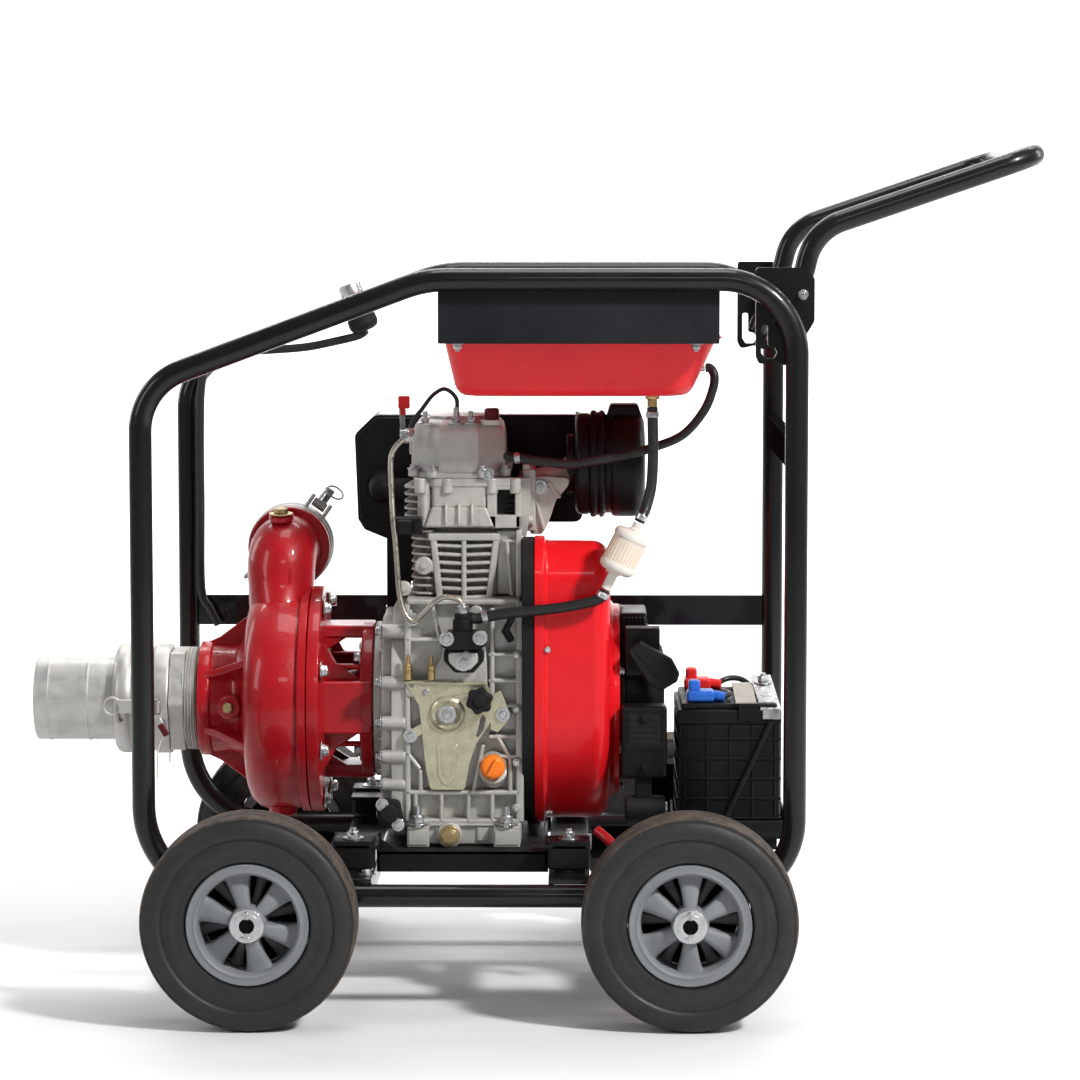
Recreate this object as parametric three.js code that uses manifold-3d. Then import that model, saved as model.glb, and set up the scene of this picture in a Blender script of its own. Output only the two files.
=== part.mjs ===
// Portable fire pump: air-cooled single-cylinder diesel engine close-coupled to a
// 4-inch cast-iron centrifugal pump, on a tubular trolley frame with four wheels.
// Millimetres. +X towards the carry handle, -X towards the suction, +Z up.
// Origin: middle of the wheelbase box, on the ground.
import * as THREE from 'three';
import { mergeVertices } from 'three/addons/utils/BufferGeometryUtils.js';
import Module from 'manifold-3d';
const wasm = await Module();
wasm.setup();

// ---- driving dimensions ------------------------------------------------------------
const TUBE_R = 13.45;                 // 26.9 mm frame pipe
const LOOP_Y = 260;                   // planes of the two side loops
const LOOP_BOT = 142, LOOP_TOP = 860; // centre heights of the lower and upper runs
const LOOP_FRONT = -445, LOOP_REAR = 313.5;
const SLOPE_TOP_X = -115, SLOPE_BOT_Z = 737;
const WHEEL_R = 125, WHEEL_HALF = 39, WHEEL_Y = 321;
const AXLE_FRONT_X = -317, AXLE_REAR_X = 190, AXLE_R = 10, AXLE_END = 364;
const HANDLE_R = 12.5, HANDLE_Y = 226, PIVOT_X = 320, PIVOT_Z = 843;
const CRANK_Z = 340;                  // crank and pump axis
const ENG_Y = 130;                    // crankcase half width
const GAP = 0.3;                      // clearance between neighbouring pieces
const COUPLER_END_X = -605;
const SLOPE = [0.9371, 0.3492];       // direction of the falling run of the side loops
const SWITCH_X = -224, SWITCH_Y = 222, SWITCH_Z = 820.5;

// ---- materials -----------------------------------------------------------------------
const mat = (color, roughness, metalness = 0) => new THREE.MeshStandardMaterial({ color, roughness, metalness });
const gloss_black = () => mat(0x131416, 0.25);
const satin_black = () => mat(0x26272b, 0.5);
const pump_red = () => mat(0xb8242b, 0.3);
const shroud_red = () => mat(0xe5212a, 0.2);
const tank_red = () => mat(0xe0343b, 0.25);
const cast_alu = () => mat(0xbebab4, 0.55, 0.6);
const zinc = () => mat(0xb9bcc0, 0.35, 1);
const yellow_zinc = () => mat(0xc2bd95, 0.4, 0.8);
const rubber = () => mat(0x2b2b2b, 0.85);
const grey_rim = () => mat(0x868d91, 0.45);
const black_plastic = () => mat(0x1c1c1e, 0.5);

// ---- solids ----------------------------------------------------------------------------
function solid(geometry) {
  const g0 = geometry.clone();
  g0.deleteAttribute('normal'); g0.deleteAttribute('uv');
  const g = mergeVertices(g0, 1e-3);
  const p = g.attributes.position.array, raw = g.index.array;
  let tri = [];
  for (let i = 0; i < raw.length; i += 3)
    if (raw[i] !== raw[i + 1] && raw[i + 1] !== raw[i + 2] && raw[i] !== raw[i + 2]) tri.push(raw[i], raw[i + 1], raw[i + 2]);
  let vol = 0;
  const v = (i) => [p[3 * i], p[3 * i + 1], p[3 * i + 2]];
  for (let i = 0; i < tri.length; i += 3) {
    const a = v(tri[i]), b = v(tri[i + 1]), c = v(tri[i + 2]);
    vol += a[0] * (b[1] * c[2] - b[2] * c[1]) - a[1] * (b[0] * c[2] - b[2] * c[0]) + a[2] * (b[0] * c[1] - b[1] * c[0]);
  }
  if (vol < 0) for (let i = 0; i < tri.length; i += 3) [tri[i], tri[i + 1]] = [tri[i + 1], tri[i]];
  return new wasm.Manifold(new wasm.Mesh({ numProp: 3, vertProperties: new Float32Array(p), triVerts: new Uint32Array(tri) }));
}
const join = (...s) => s.flat().reduce((a, b) => a.add(b));
const cut = (a, ...s) => s.flat().reduce((x, y) => x.subtract(y), a);
const BX = (x0, x1, y0, y1, z0, z1) => solid(new THREE.BoxGeometry(x1 - x0, y1 - y0, z1 - z0).translate((x0 + x1) / 2, (y0 + y1) / 2, (z0 + z1) / 2));
function rod(p0, p1, r0, r1 = r0, n = 16, phase = 0) {
  const a = new THREE.Vector3(...p0), b = new THREE.Vector3(...p1), d = b.clone().sub(a);
  const g = new THREE.CylinderGeometry(r1, r0, d.length(), n, 1, false, phase);
  g.applyQuaternion(new THREE.Quaternion().setFromUnitVectors(new THREE.Vector3(0, 1, 0), d.clone().normalize()));
  return solid(g.translate((a.x + b.x) / 2, (a.y + b.y) / 2, (a.z + b.z) / 2));
}
const CX = (y, z, r, x0, x1, n = 24, r1 = r) => rod([x0, y, z], [x1, y, z], r, r1, n);
const CY = (x, z, r, y0, y1, n = 24, r1 = r) => rod([x, y0, z], [x, y1, z], r, r1, n);
const CZ = (x, y, r, z0, z1, n = 24, r1 = r) => rod([x, y, z0], [x, y, z1], r, r1, n);
// closed profile [[radius, along], ...] turned about X, Y or Z through a centre
function turned(axis, centre, profile, n = 32, phase = 0) {
  const pts = profile.map(([r, a]) => new THREE.Vector2(r, a));
  pts.push(pts[0].clone());
  const g = new THREE.LatheGeometry(pts, n, phase);
  if (axis === 'X') g.rotateZ(-Math.PI / 2);
  if (axis === 'Z') g.rotateX(Math.PI / 2);
  return solid(g.translate(...centre));
}
// outline in the XZ, XY or YZ plane, pulled along the third axis
function prism(plane, outline, a0, a1, holes = []) {
  const s = new THREE.Shape(outline.map(([u, v]) => new THREE.Vector2(u, v)));
  for (const h of holes) s.holes.push(new THREE.Path(h.map(([u, v]) => new THREE.Vector2(u, v))));
  const g = new THREE.ExtrudeGeometry(s, { depth: a1 - a0, bevelEnabled: false, steps: 1 });
  const m = new THREE.Matrix4();
  if (plane === 'XZ') m.set(1, 0, 0, 0, 0, 0, 1, a0, 0, 1, 0, 0, 0, 0, 0, 1);
  if (plane === 'XY') m.set(1, 0, 0, 0, 0, 1, 0, 0, 0, 0, 1, a0, 0, 0, 0, 1);
  if (plane === 'YZ') m.set(0, 0, 1, a0, 1, 0, 0, 0, 0, 1, 0, 0, 0, 0, 0, 1);
  return solid(g.applyMatrix4(m));
}
const arc = (cx, cy, r, a0, a1, n) => Array.from({ length: n + 1 }, (_, i) => {
  const t = (a0 + (a1 - a0) * i / n) * Math.PI / 180; return [cx + r * Math.cos(t), cy + r * Math.sin(t)];
});
const circle = (cx, cy, r, n = 16) => arc(cx, cy, r, 0, 360, n).slice(0, n);
// a path that visits given stations only
class Stations extends THREE.Curve {
  constructor(points, tangents) { super(); this.p = points; this.t = tangents; }
  at(u) { return Math.round(u * (this.p.length - 1)); }
  getPoint(u, o = new THREE.Vector3()) { return o.copy(this.p[this.at(u)]); }
  getPointAt(u, o = new THREE.Vector3()) { return this.getPoint(u, o); }
  getTangent(u, o = new THREE.Vector3()) { return o.copy(this.t[this.at(u)]); }
  getTangentAt(u, o = new THREE.Vector3()) { return this.getTangent(u, o); }
  getSpacedPoints() { return this.p.map((q) => q.clone()); }
  getLength() { return 1; }
}
// corners [x, y, z, bend radius] joined by straights and bends
function bentPath(corners, step = 18) {
  const V = corners.map((c) => new THREE.Vector3(c[0], c[1], c[2]));
  const P = [V[0].clone()], T = [V[1].clone().sub(V[0]).normalize()];
  for (let i = 1; i < V.length - 1; i++) {
    const a = V[i - 1].clone().sub(V[i]).normalize(), b = V[i + 1].clone().sub(V[i]).normalize();
    const ang = Math.PI - a.angleTo(b), R = corners[i][3] || 20, d = R * Math.tan(ang / 2);
    const n = Math.max(2, Math.ceil(ang * 180 / Math.PI / step));
    const start = V[i].clone().addScaledVector(a, d);
    const axis = new THREE.Vector3().crossVectors(a.clone().negate(), b).normalize();
    const inward = new THREE.Vector3().crossVectors(axis, a.clone().negate()).normalize();
    const c = start.clone().addScaledVector(inward, R);
    for (let k = 0; k <= n; k++) {
      const q = new THREE.Quaternion().setFromAxisAngle(axis, ang * k / n);
      P.push(start.clone().sub(c).applyQuaternion(q).add(c));
      T.push(a.clone().negate().applyQuaternion(q));
    }
  }
  P.push(V[V.length - 1].clone());
  T.push(V[V.length - 1].clone().sub(V[V.length - 2]).normalize());
  return new Stations(P, T);
}
function smoothPath(points, n) {
  const c = new THREE.CatmullRomCurve3(points.map((p) => new THREE.Vector3(...p)), false, 'centripetal');
  const P = [], T = [];
  for (let i = 0; i <= n; i++) { P.push(c.getPointAt(i / n)); T.push(c.getTangentAt(i / n)); }
  return new Stations(P, T);
}
function tube(path, r, n = 12) {
  const s = new THREE.Shape(circle(0, 0, r, n).map(([u, v]) => new THREE.Vector2(u, v)));
  return solid(new THREE.ExtrudeGeometry(s, { steps: path.p.length - 1, extrudePath: path, bevelEnabled: false }));
}

// ---- scene graph -------------------------------------------------------------------------
const group = new THREE.Group();
function part(name, body, material, parent = group) {
  const m = body.getMesh();
  const g = new THREE.BufferGeometry();
  const p = new Float32Array(m.numVert * 3);
  for (let i = 0; i < m.numVert; i++) for (let k = 0; k < 3; k++) p[3 * i + k] = m.vertProperties[i * m.numProp + k];
  g.setAttribute('position', new THREE.BufferAttribute(p, 3));
  g.setIndex(new THREE.BufferAttribute(new Uint32Array(m.triVerts), 1));
  g.computeVertexNormals();
  const mesh = new THREE.Mesh(g, material);
  mesh.name = name;
  parent.add(mesh);
  return mesh;
}
const place = (x, y, z, parent = group) => { const g = new THREE.Group(); g.position.set(x, y, z); parent.add(g); return g; };

// ---- side frames: bent pipe loop, handle bracket plate and tank guard welded on -------------
function sideFrame(side) {
  const y = side * LOOP_Y;
  const rearHalf = bentPath([[0, y, LOOP_BOT], [LOOP_REAR, y, LOOP_BOT, 90], [LOOP_REAR, y, LOOP_TOP, 86], [0, y, LOOP_TOP]], 19);
  const frontHalf = bentPath([[0.5, y, LOOP_TOP], [SLOPE_TOP_X, y, LOOP_TOP, 150], [LOOP_FRONT, y, SLOPE_BOT_Z, 75], [LOOP_FRONT, y, LOOP_BOT, 105], [0.5, y, LOOP_BOT]], 19);
  let f = join(tube(rearHalf, TUBE_R, 10), tube(frontHalf, TUBE_R, 10),
    CX(y, LOOP_BOT, TUBE_R + 0.5, -14, 14, 10), CX(y, LOOP_TOP, TUBE_R + 0.5, -14, 14, 10));
  // handle bracket plate, inboard of the rear pipe
  const out = [[278, 874], [322, 874], [333, 866], [334, 815], [322, 790], [312, 766], [300, 762], [272, 764], [266, 771], [266, 862]];
  const yi = side < 0 ? [-249.5, -243] : [243, 249.5];
  const slot = [[272, 775], [272, 806], [279, 806], [279, 783], [289, 778], [286, 771], [277, 770]];
  f = join(f, prism('XZ', out, yi[0], yi[1]));
  f = cut(f, CY(PIVOT_X, PIVOT_Z, 7, side < 0 ? -300 : 240, side < 0 ? -240 : 300, 12));
  f = cut(f, prism('XZ', slot, yi[0] - 1, yi[1] + 1));
  // tank guard: upright plate under the top pipe with a lip that carries the tank flange
  const g = side < 0 ? [-251.5, -246.8] : [246.8, 251.5];
  f = join(f, BX(-101, 224.5, g[0], g[1], 786, 852), side < 0 ? BX(-101, 224.5, -247.5, -206, 786, 789) : BX(-101, 224.5, 206, 247.5, 786, 789));
  if (side > 0) {
    f = join(f, BX(-438, 307, 256, 264, 402, 441));
    // sloped lug for the ignition switch, square to the falling run of the pipe
    const [ux, uz] = SLOPE, q = (a, b) => [SWITCH_X + a * ux - b * uz, SWITCH_Z + a * uz + b * ux];
    f = join(f, prism('XZ', [q(-23, -1.3), q(23, -1.3), q(23, 1.3), q(-23, 1.3)], 198, 252));
  }
  // saddles for the axles on the underside of the lower pipe
  f = cut(f, CY(AXLE_FRONT_X, WHEEL_R, AXLE_R + GAP + 0.2, y - 30, y + 30, 12), CY(AXLE_REAR_X, WHEEL_R, AXLE_R + GAP + 0.2, y - 30, y + 30, 12));
  return f;
}

part('side_frame_near', sideFrame(-1), gloss_black());
part('side_frame_far', sideFrame(1), gloss_black());
part('rear_cross_channel', cut(BX(304, 320, -246.2, 246.2, 640, 676), BX(307, 321, -250, 250, 643.5, 672.5)), gloss_black());
part('front_cross_member', join(BX(-228, -180, -262, 262, 155.9, 162), BX(-186, -180, -244, 244, 128, 157)), gloss_black());
part('battery_tray', join(
  BX(27, 75, -262, 262, 155.9, 162), BX(27, 33, -244, 244, 128, 157),
  BX(70, 190, -60, 60, 155.9, 162), BX(180, 215, -262, 262, 155.9, 162),
  BX(184, 210, -120, -100, 161, 191), BX(184, 210, 0, 20, 161, 191),
  BX(176, 312, -146, 38, 190, 197.7), BX(308.5, 312, -146, 38, 190, 215), BX(176, 312, -146, -142.5, 190, 208)), satin_black());

// ---- folding carry handle: one bent tube, pivot bolts welded through its legs ---------------
{
  const y = HANDLE_Y, h = place(PIVOT_X, 0, PIVOT_Z);
  const leg = (s) => [[-29, s * y, -56], [3, s * y, 26, 30], [14, s * y, 73, 58], [255.5, s * y, 155.2, 50]];
  const path = bentPath([...leg(-1).slice(0, 3), [273.06, -y, 161.3, 46], [273.06, y, 161.3, 46], ...leg(1).slice(0, 3).reverse()], 20);
  part('carry_handle', join(tube(path, HANDLE_R, 10),
    CY(0, 0, 6.2, -256, -y, 8), CY(0, 0, 6.2, y, 256, 8), CY(0, 0, 10, -256, -250, 6), CY(0, 0, 10, 250, 256, 6)), gloss_black(), h);
}

// ---- wheels and axles ------------------------------------------------------------------------
const TYRE_R = WHEEL_R / Math.cos(Math.PI / 24);
const tyre = turned('Y', [0, 0, 0], [[72, -35], [72, 35], [110, 39], [TYRE_R, 31], [TYRE_R, -31], [110, -39]], 24, Math.PI / 24);
function hub() {
  let w = turned('Y', [0, 0, 0], [[58, -33], [58, 33], [71, 33], [71, -33]], 18);
  for (let k = 0; k < 6; k++) {
    const a = Math.PI / 2 + k * Math.PI / 3, c = Math.cos(a), s = Math.sin(a);
    const q = (r, t) => [r * c - t * s, r * s + t * c];
    w = join(w, prism('XZ', [q(16, -8), q(62, -14), q(62, 14), q(16, 8)], -24, 24));
  }
  return cut(join(w, CY(0, 0, 21.7, -37, 37, 12)), CY(0, 0, AXLE_R + GAP + 0.4, -40, 40, 12));
}
const wheelHub = hub();
for (const [x, end] of [[AXLE_FRONT_X, 'front'], [AXLE_REAR_X, 'rear']]) {
  for (const [s, side] of [[-1, 'near'], [1, 'far']]) {
    const w = place(x, s * WHEEL_Y, WHEEL_R);
    part(`tyre_${end}_${side}`, tyre, rubber(), w);
    part(`wheel_hub_${end}_${side}`, wheelHub, grey_rim(), w);
  }
  part(`axle_${end}`, join(CY(x, WHEEL_R, AXLE_R, -AXLE_END, AXLE_END, 12), CY(x, WHEEL_R, 17, -282, -278, 12), CY(x, WHEEL_R, 17, 278, 282, 12)), zinc());
}

// ---- engine bed on four rubber mounts ----------------------------------------------------------
{
  const rail = (s) => {
    const y = (a, b) => s < 0 ? [-b, -a] : [a, b], b = (x0, x1, ya, yb, z0, z1) => BX(x0, x1, ...y(ya, yb), z0, z1);
    return join(b(-179, 26, 95, 160, 171, 177.6), b(-179, 26, 153, 160, 152, 177.6),
      b(-179, -174, 133, 160, 152, 195), b(-228, -174, 133, 222, 190, 195),
      b(20, 26, 150, 160, 152, 195), b(20, 75, 150, 222, 190, 195));
  };
  part('engine_bed', join(rail(-1), rail(1), BX(-110, -60, -100, 100, 171, 177.6)), satin_black());
  for (const [x, end] of [[-204, 'front'], [51, 'rear']]) for (const [s, side] of [[-1, 'near'], [1, 'far']])
    part(`rubber_mount_${end}_${side}`, turned('Z', [x, s * 200, 0], [[0, 162.3], [19, 162.3], [16, 176], [19, 189.7], [0, 189.7]], 12), rubber());
}

// ---- engine --------------------------------------------------------------------------------------
const Y = ENG_Y;
{
  // crankcase: thick-walled box with a crank chamber open towards the gear cover
  let c = join(BX(-145, -6, -Y, Y, 205, 475.7), BX(-141, -124, -Y + 3, Y - 3, 178, 206), BX(-36, -12, -Y + 3, Y - 3, 178, 206));
  c = join(c, BX(-125, -35, -Y + 12, Y - 12, 190, 206));
  c = cut(c, CX(0, CRANK_Z, 96, -146, -26, 20), CX(0, CRANK_Z, 22, -30, 0, 14), CZ(-75, 0, 43, CRANK_Z, 480, 18));
  part('crankcase', c, cast_alu());
  let g = join(BX(-183, -145.3, -Y, Y, 182, 461), BX(-187, -182, -92, 92, 248, 432));
  part('gear_cover', cut(g, CX(0, CRANK_Z, 24, -190, -140, 14)), cast_alu());
}
{
  let b = BX(-128, -20, -86, 50, 476, 557.7);
  for (let k = 0; k < 7; k++) b = join(b, BX(-145, -8, -100, 58, 479 + k * 10.7, 484 + k * 10.7));
  part('cylinder_block', cut(b, CZ(-75, 0, 43, 470, 560, 18)), cast_alu());
  let h = BX(-112.6, -6, -100, 55, 558, 630.5);
  for (let k = 0; k < 6; k++) h = join(h, BX(-138, -110, -95, 55, 577 + k * 6.6, 581 + k * 6.6));
  h = join(h, BX(-40, -6, -108, -99, 586, 622));
  part('cylinder_head', h, cast_alu());
  part('head_cover', join(prism('XZ', [[-142, 630.8], [-24, 630.8], [-24, 672], [-44, 690], [-112, 690], [-142, 668]], -98, 50),
    CZ(-40, -60, 11, 688, 699, 12)), cast_alu());
}
part('muffler', join(prism('XZ', [[-217, 528], [-12, 528], [-12, 552.5], [67, 552.5], [67, 687], [-194, 687], [-217, 664]], 62, 165),
  rod([-181, 30, 597], [-181, 63, 597], 12, 18, 12)), satin_black());
part('air_cleaner', join(turned('X', [0, -10, 631], [[0, 57], [57, 57], [65.5, 65], [65.5, 135], [60, 143], [0, 143]], 20), BX(80, 125, -35, 15, 690, 706)), black_plastic());
part('intake_manifold', join(BX(-5.7, 50, -58, -16, 600, 624), BX(-5.7, 2, -66, -8, 592, 632), BX(48, 56.7, -45, 25, 596, 666)), cast_alu());
{
  // blower housing: open towards the crankcase, air inlet behind the recoil starter
  const outline = (o) => [...arc(0, CRANK_Z, 148 - o, 180, 360, 14), ...arc(98, 497, 50 - o, 0, 90, 3), ...arc(-98, 497, 50 - o, 90, 180, 3)];
  const lower = (o) => [...arc(0, CRANK_Z, 148 - o, 180, 360, 14), [148 - o, 478], [120, 520], [-120, 520], [-(148 - o), 478]];
  let s = join(prism('YZ', outline(0), 10, 90), prism('YZ', outline(10), 89, 102), CX(0, CRANK_Z, 117, 100, 112, 24),
    prism('YZ', outline(-4), -5.7, 10.5));
  s = cut(s, prism('YZ', lower(8), -6, 80), CX(0, CRANK_Z, 84, 78, 113, 18));
  part('fan_shroud', s, shroud_red());
}
part('recoil_starter', join(turned('X', [0, 0, CRANK_Z], [[0, 112.3], [100, 112.3], [100, 142], [80, 162], [0, 167]], 20), BX(112.3, 146, -58, 58, 420, 452)), black_plastic());
part('starter_motor', join(BX(113, 168, -142, -104, 252, 350), CX(-123, 222, 17, 118, 166, 12), BX(130, 150, -132, -114, 222, 255)), satin_black());
part('recoil_grip', rod([126, -113, 424], [178, -113, 380], 9, 9, 12), black_plastic());

// crank train: journals, webs, crankpin and the pump shaft in one forging
{
  let c = join(CX(0, CRANK_Z, 18, -318, 108, 14), BX(-114, -98, -34, 34, 290, 384), BX(-54, -38, -34, 34, 290, 384), CX(0, CRANK_Z + 30, 17, -100, -52, 12));
  c = cut(c, BX(-98, -54, -40, 40, 300, CRANK_Z + 12.5));
  part('crankshaft', c, zinc());
  let f = CX(0, CRANK_Z, 112, 18, 34, 20);
  for (let k = 0; k < 8; k++) {
    const a = k * Math.PI / 4, q = (r, t) => [r * Math.cos(a) - t * Math.sin(a), CRANK_Z + r * Math.sin(a) + t * Math.cos(a)];
    f = join(f, prism('YZ', [q(78, -2), q(116, -2), q(116, 2), q(78, 2)], 32, 70));
  }
  part('flywheel_fan', cut(join(f, CX(0, CRANK_Z, 34, 33, 72, 14)), CX(0, CRANK_Z, 18.8, 0, 120, 14)), cast_alu());
  let w = join(CX(0, CRANK_Z, 98, -286, -279, 20), CX(0, CRANK_Z, 28, -310, -279, 14), cut(CX(0, CRANK_Z, 98, -312, -308, 20), CX(0, CRANK_Z, 46, -313, -307, 16)));
  for (let k = 0; k < 6; k++) {
    const a = k * Math.PI / 3, q = (r, t) => [r * Math.cos(a) - t * Math.sin(a), CRANK_Z + r * Math.sin(a) + t * Math.cos(a)];
    w = join(w, prism('YZ', [q(26, -2), q(94, 26), q(94, 30), q(26, 2)], -309, -285));
  }
  part('impeller', cut(w, CX(0, CRANK_Z, 18.8, -320, -270, 14)), mat(0xa58a4a, 0.4, 0.9));
}

// injection pump, pipe and controls on the near side
part('injection_pump', join(BX(-86, -65, -168, -134, 430, 461.6), BX(-101, -48, -176, -130.3, 417, 434), BX(-95, -55, -164, -130.3, 388, 418)), satin_black());
{
  const P = [[-147, -120, 668], [-157.5, -124, 657], [-162, -128, 642], [-161, -133, 607.6], [-159, -139, 572], [-156.7, -141, 552], [-154, -145, 517], [-151.5, -148, 486], [-146.6, -150, 466], [-140.7, -151, 456], [-132.7, -151, 453], [-122.8, -151, 462], [-110.9, -151, 474], [-99, -150.5, 481], [-88, -150, 480.5], [-80.5, -150, 478], [-76.8, -150, 472], [-75.9, -150, 467], [-75.9, -150, 462.2]];
  part('injection_pipe', join(tube(smoothPath(P, 26), 3.2, 6), rod([-147, -119, 667], [-143, -108, 672], 7, 7, 6), rod([-143, -108, 672], [-139, -99.8, 675], 3.5, 3.5, 6)), zinc());
}
part('oil_filler_cap', join(CY(-40.5, 276, 14.5, -148, -134, 14), CY(-40.5, 276, 10, -135, -130.3, 8), BX(-44, -37, -154, -147, 264, 288)), mat(0xf58220, 0.4));
part('speed_control_plate', prism('XZ', [[-147, 379], [-47, 378], [-21, 342], [-61, 302], [-72, 251], [-116, 251], [-138, 315]], -134, -130.3), yellow_zinc());
{
  const l = place(-94.8, 0, 339.4);
  part('speed_lever', join(CY(0, 0, 20, -142, -134.3, 14), prism('XZ', [[0, -9], [44, 9], [38, 24], [-6, 10]], -140, -134.3), CY(38.8, 17.5, 15, -158, -139, 12)), yellow_zinc(), l);
}
{
  const l = place(-148, -84, 672);
  part('decompression_lever', join(BX(-5, 5, -3, 3, -3, 30), BX(-7.5, 7.5, -6, 6, 28, 46), CX(0, 0, 6, -5, 5.3, 12)), mat(0xd22a2a, 0.4), l);
}

// ---- fuel system -------------------------------------------------------------------------------------
{
  const taper = (x0, x1, y, z, X0, X1, Yy, Z) => {
    const pts = [[x0, -y, z], [x1, -y, z], [x1, y, z], [x0, y, z], [X0, -Yy, Z], [X1, -Yy, Z], [X1, Yy, Z], [X0, Yy, Z]];
    const f = [0, 2, 1, 0, 3, 2, 4, 5, 6, 4, 6, 7, 0, 1, 5, 0, 5, 4, 1, 2, 6, 1, 6, 5, 2, 3, 7, 2, 7, 6, 3, 0, 4, 3, 4, 7];
    const b = new THREE.BufferGeometry();
    b.setAttribute('position', new THREE.BufferAttribute(new Float32Array(pts.flat()), 3));
    b.setIndex(f);
    return solid(b);
  };
  part('fuel_tank', join(taper(-70, 172, 184, 721, -80, 186, 192, 732), taper(-80, 186, 192, 732, -94, 212, 202, 790),
    BX(-102, 230, -226, 226, 789.4, 793), taper(-94, 212, 202, 792, -80, 196, 190, 824), CZ(60, 0, 36, 822, 829.7, 16),
    CZ(149, -150, 7, 708, 722, 12), rod([213, -100, 752], [188, -100, 752], 5, 5, 10)), tank_red());
  part('fuel_cap', join(CZ(60, 0, 34, 830, 838, 16), CZ(60, 0, 29, 838, 845, 12)), black_plastic());
}
part('fuel_feed_hose', tube(smoothPath([[149, -150, 707.6], [149.5, -150, 690], [150, -151, 652], [148, -152, 614], [141.5, -158, 588], [137, -164.5, 579.4], [133.6, -165, 572.4]], 12), 6.5, 8), rubber());
part('fuel_filter', join(rod([128.4, -165, 562], [104, -165, 512.6], 22, 22, 16), rod([132.9, -165, 571.1], [94, -165, 492.3], 6, 6, 8)), mat(0xf0e6d8, 0.4));
part('fuel_filter_hose', tube(smoothPath([[93.3, -165, 490.9], [90, -165, 484.2], [80, -165, 478.5], [64, -164, 474.5], [40, -163, 470], [10, -162, 466.5], [-20, -160, 463.5], [-44, -155, 459], [-57, -152, 456], [-63.9, -151.9, 456]], 18), 6.5, 8), rubber());
part('fuel_return_hose', tube(smoothPath([[213.6, -100, 752], [219, -100, 751.6], [224, -103, 743], [222, -105, 726], [211, -107, 700], [186, -110, 672], [150, -112, 657], [116, -112, 648], [79, -111, 641], [49, -109, 637], [16, -107, 640], [-19, -104, 645], [-23.6, -99.5, 646]], 24), 5.5, 7), rubber());

// ---- electrics -----------------------------------------------------------------------------------------
part('battery', join(BX(180, 305, -140, 34, 198, 345), BX(184, 302, -136, 30, 344, 352), CZ(200, -112, 8, 351, 366, 10), CZ(200, 6, 8, 351, 366, 10)), black_plastic());
{
  const [ux, uz] = SLOPE, at = (n, t = 0) => [SWITCH_X - n * uz + t * ux, SWITCH_Y, SWITCH_Z + n * ux + t * uz];
  part('ignition_switch', join(rod(at(1.6), at(12), 12, 12, 12), rod(at(12), at(27), 15, 14, 16)), zinc());
  part('wiring_harness', join(rod(at(-1.6), at(-20), 18, 18, 12), rod(at(-18), at(-38), 18, 9, 12),
    tube(smoothPath([[-211, 222, 786], [-222, 226, 779], [-250, 234, 772], [-290, 238, 764], [-340, 240, 760], [-385, 241, 757], [-412, 240, 748], [-424, 238, 720], [-427, 238, 660], [-427, 238, 560], [-427, 238, 452], [-416, 238, 425], [-405, 238, 404]], 26), 5.5, 6)), black_plastic());
}

// ---- pump ------------------------------------------------------------------------------------------------
const DIS_X = -297, DIS_Z = 523, CAP_LEVER_RAISED = Math.PI / 6;
{
  let c = join(CX(0, CRANK_Z, 139, -343, -265.5, 28), CX(0, CRANK_Z, 70, -403, -342, 20),
    CZ(-303.5, -6, 37.5, 430, 482, 18), CZ(-303, -6, 40.5, 480.5, DIS_Z, 18), rod([-303, -13, DIS_Z - 14], [-300, 12, DIS_Z + 8], 40.5, 41, 18), CY(DIS_X, DIS_Z, 41, 2, 40, 18), CY(DIS_X, DIS_Z, 51, 34, 50, 20), CY(DIS_X, DIS_Z, 41.5, 48, 98, 16));
  for (const a of [0, 60, 120, 180, 240, 300]) {
    const t = a * Math.PI / 180, q = (u, v) => [u * Math.cos(t) - v * Math.sin(t), CRANK_Z + u * Math.sin(t) + v * Math.cos(t)];
    c = join(c, prism('YZ', [q(66, -5), q(96, -5), q(96, 5), q(66, 5)], -362, -342));
  }
  c = cut(c, CX(0, CRANK_Z, 116, -330, -260, 24), CX(0, CRANK_Z, 50, -404, -328, 16), CZ(-304, -6, 29, 420, DIS_Z, 14), CY(DIS_X, DIS_Z, 30, -14, 99, 14));
  part('pump_casing', c, pump_red());
  let l = join(CX(0, CRANK_Z, 139, -265.2, -249.5, 28), CX(0, CRANK_Z, 96, -203, -187.5, 24), CX(0, CRANK_Z, 33, -251, -200, 16),
    BX(-251, -200, -34, 34, 418, 434), BX(-251, -200, -34, 34, 246, 262), BX(-251, -200, -92, -78, 322, 358), BX(-251, -200, 78, 92, 322, 358));
  part('lantern_bracket', cut(l, CX(0, CRANK_Z, 20, -270, -180, 14)), pump_red());
}
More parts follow.
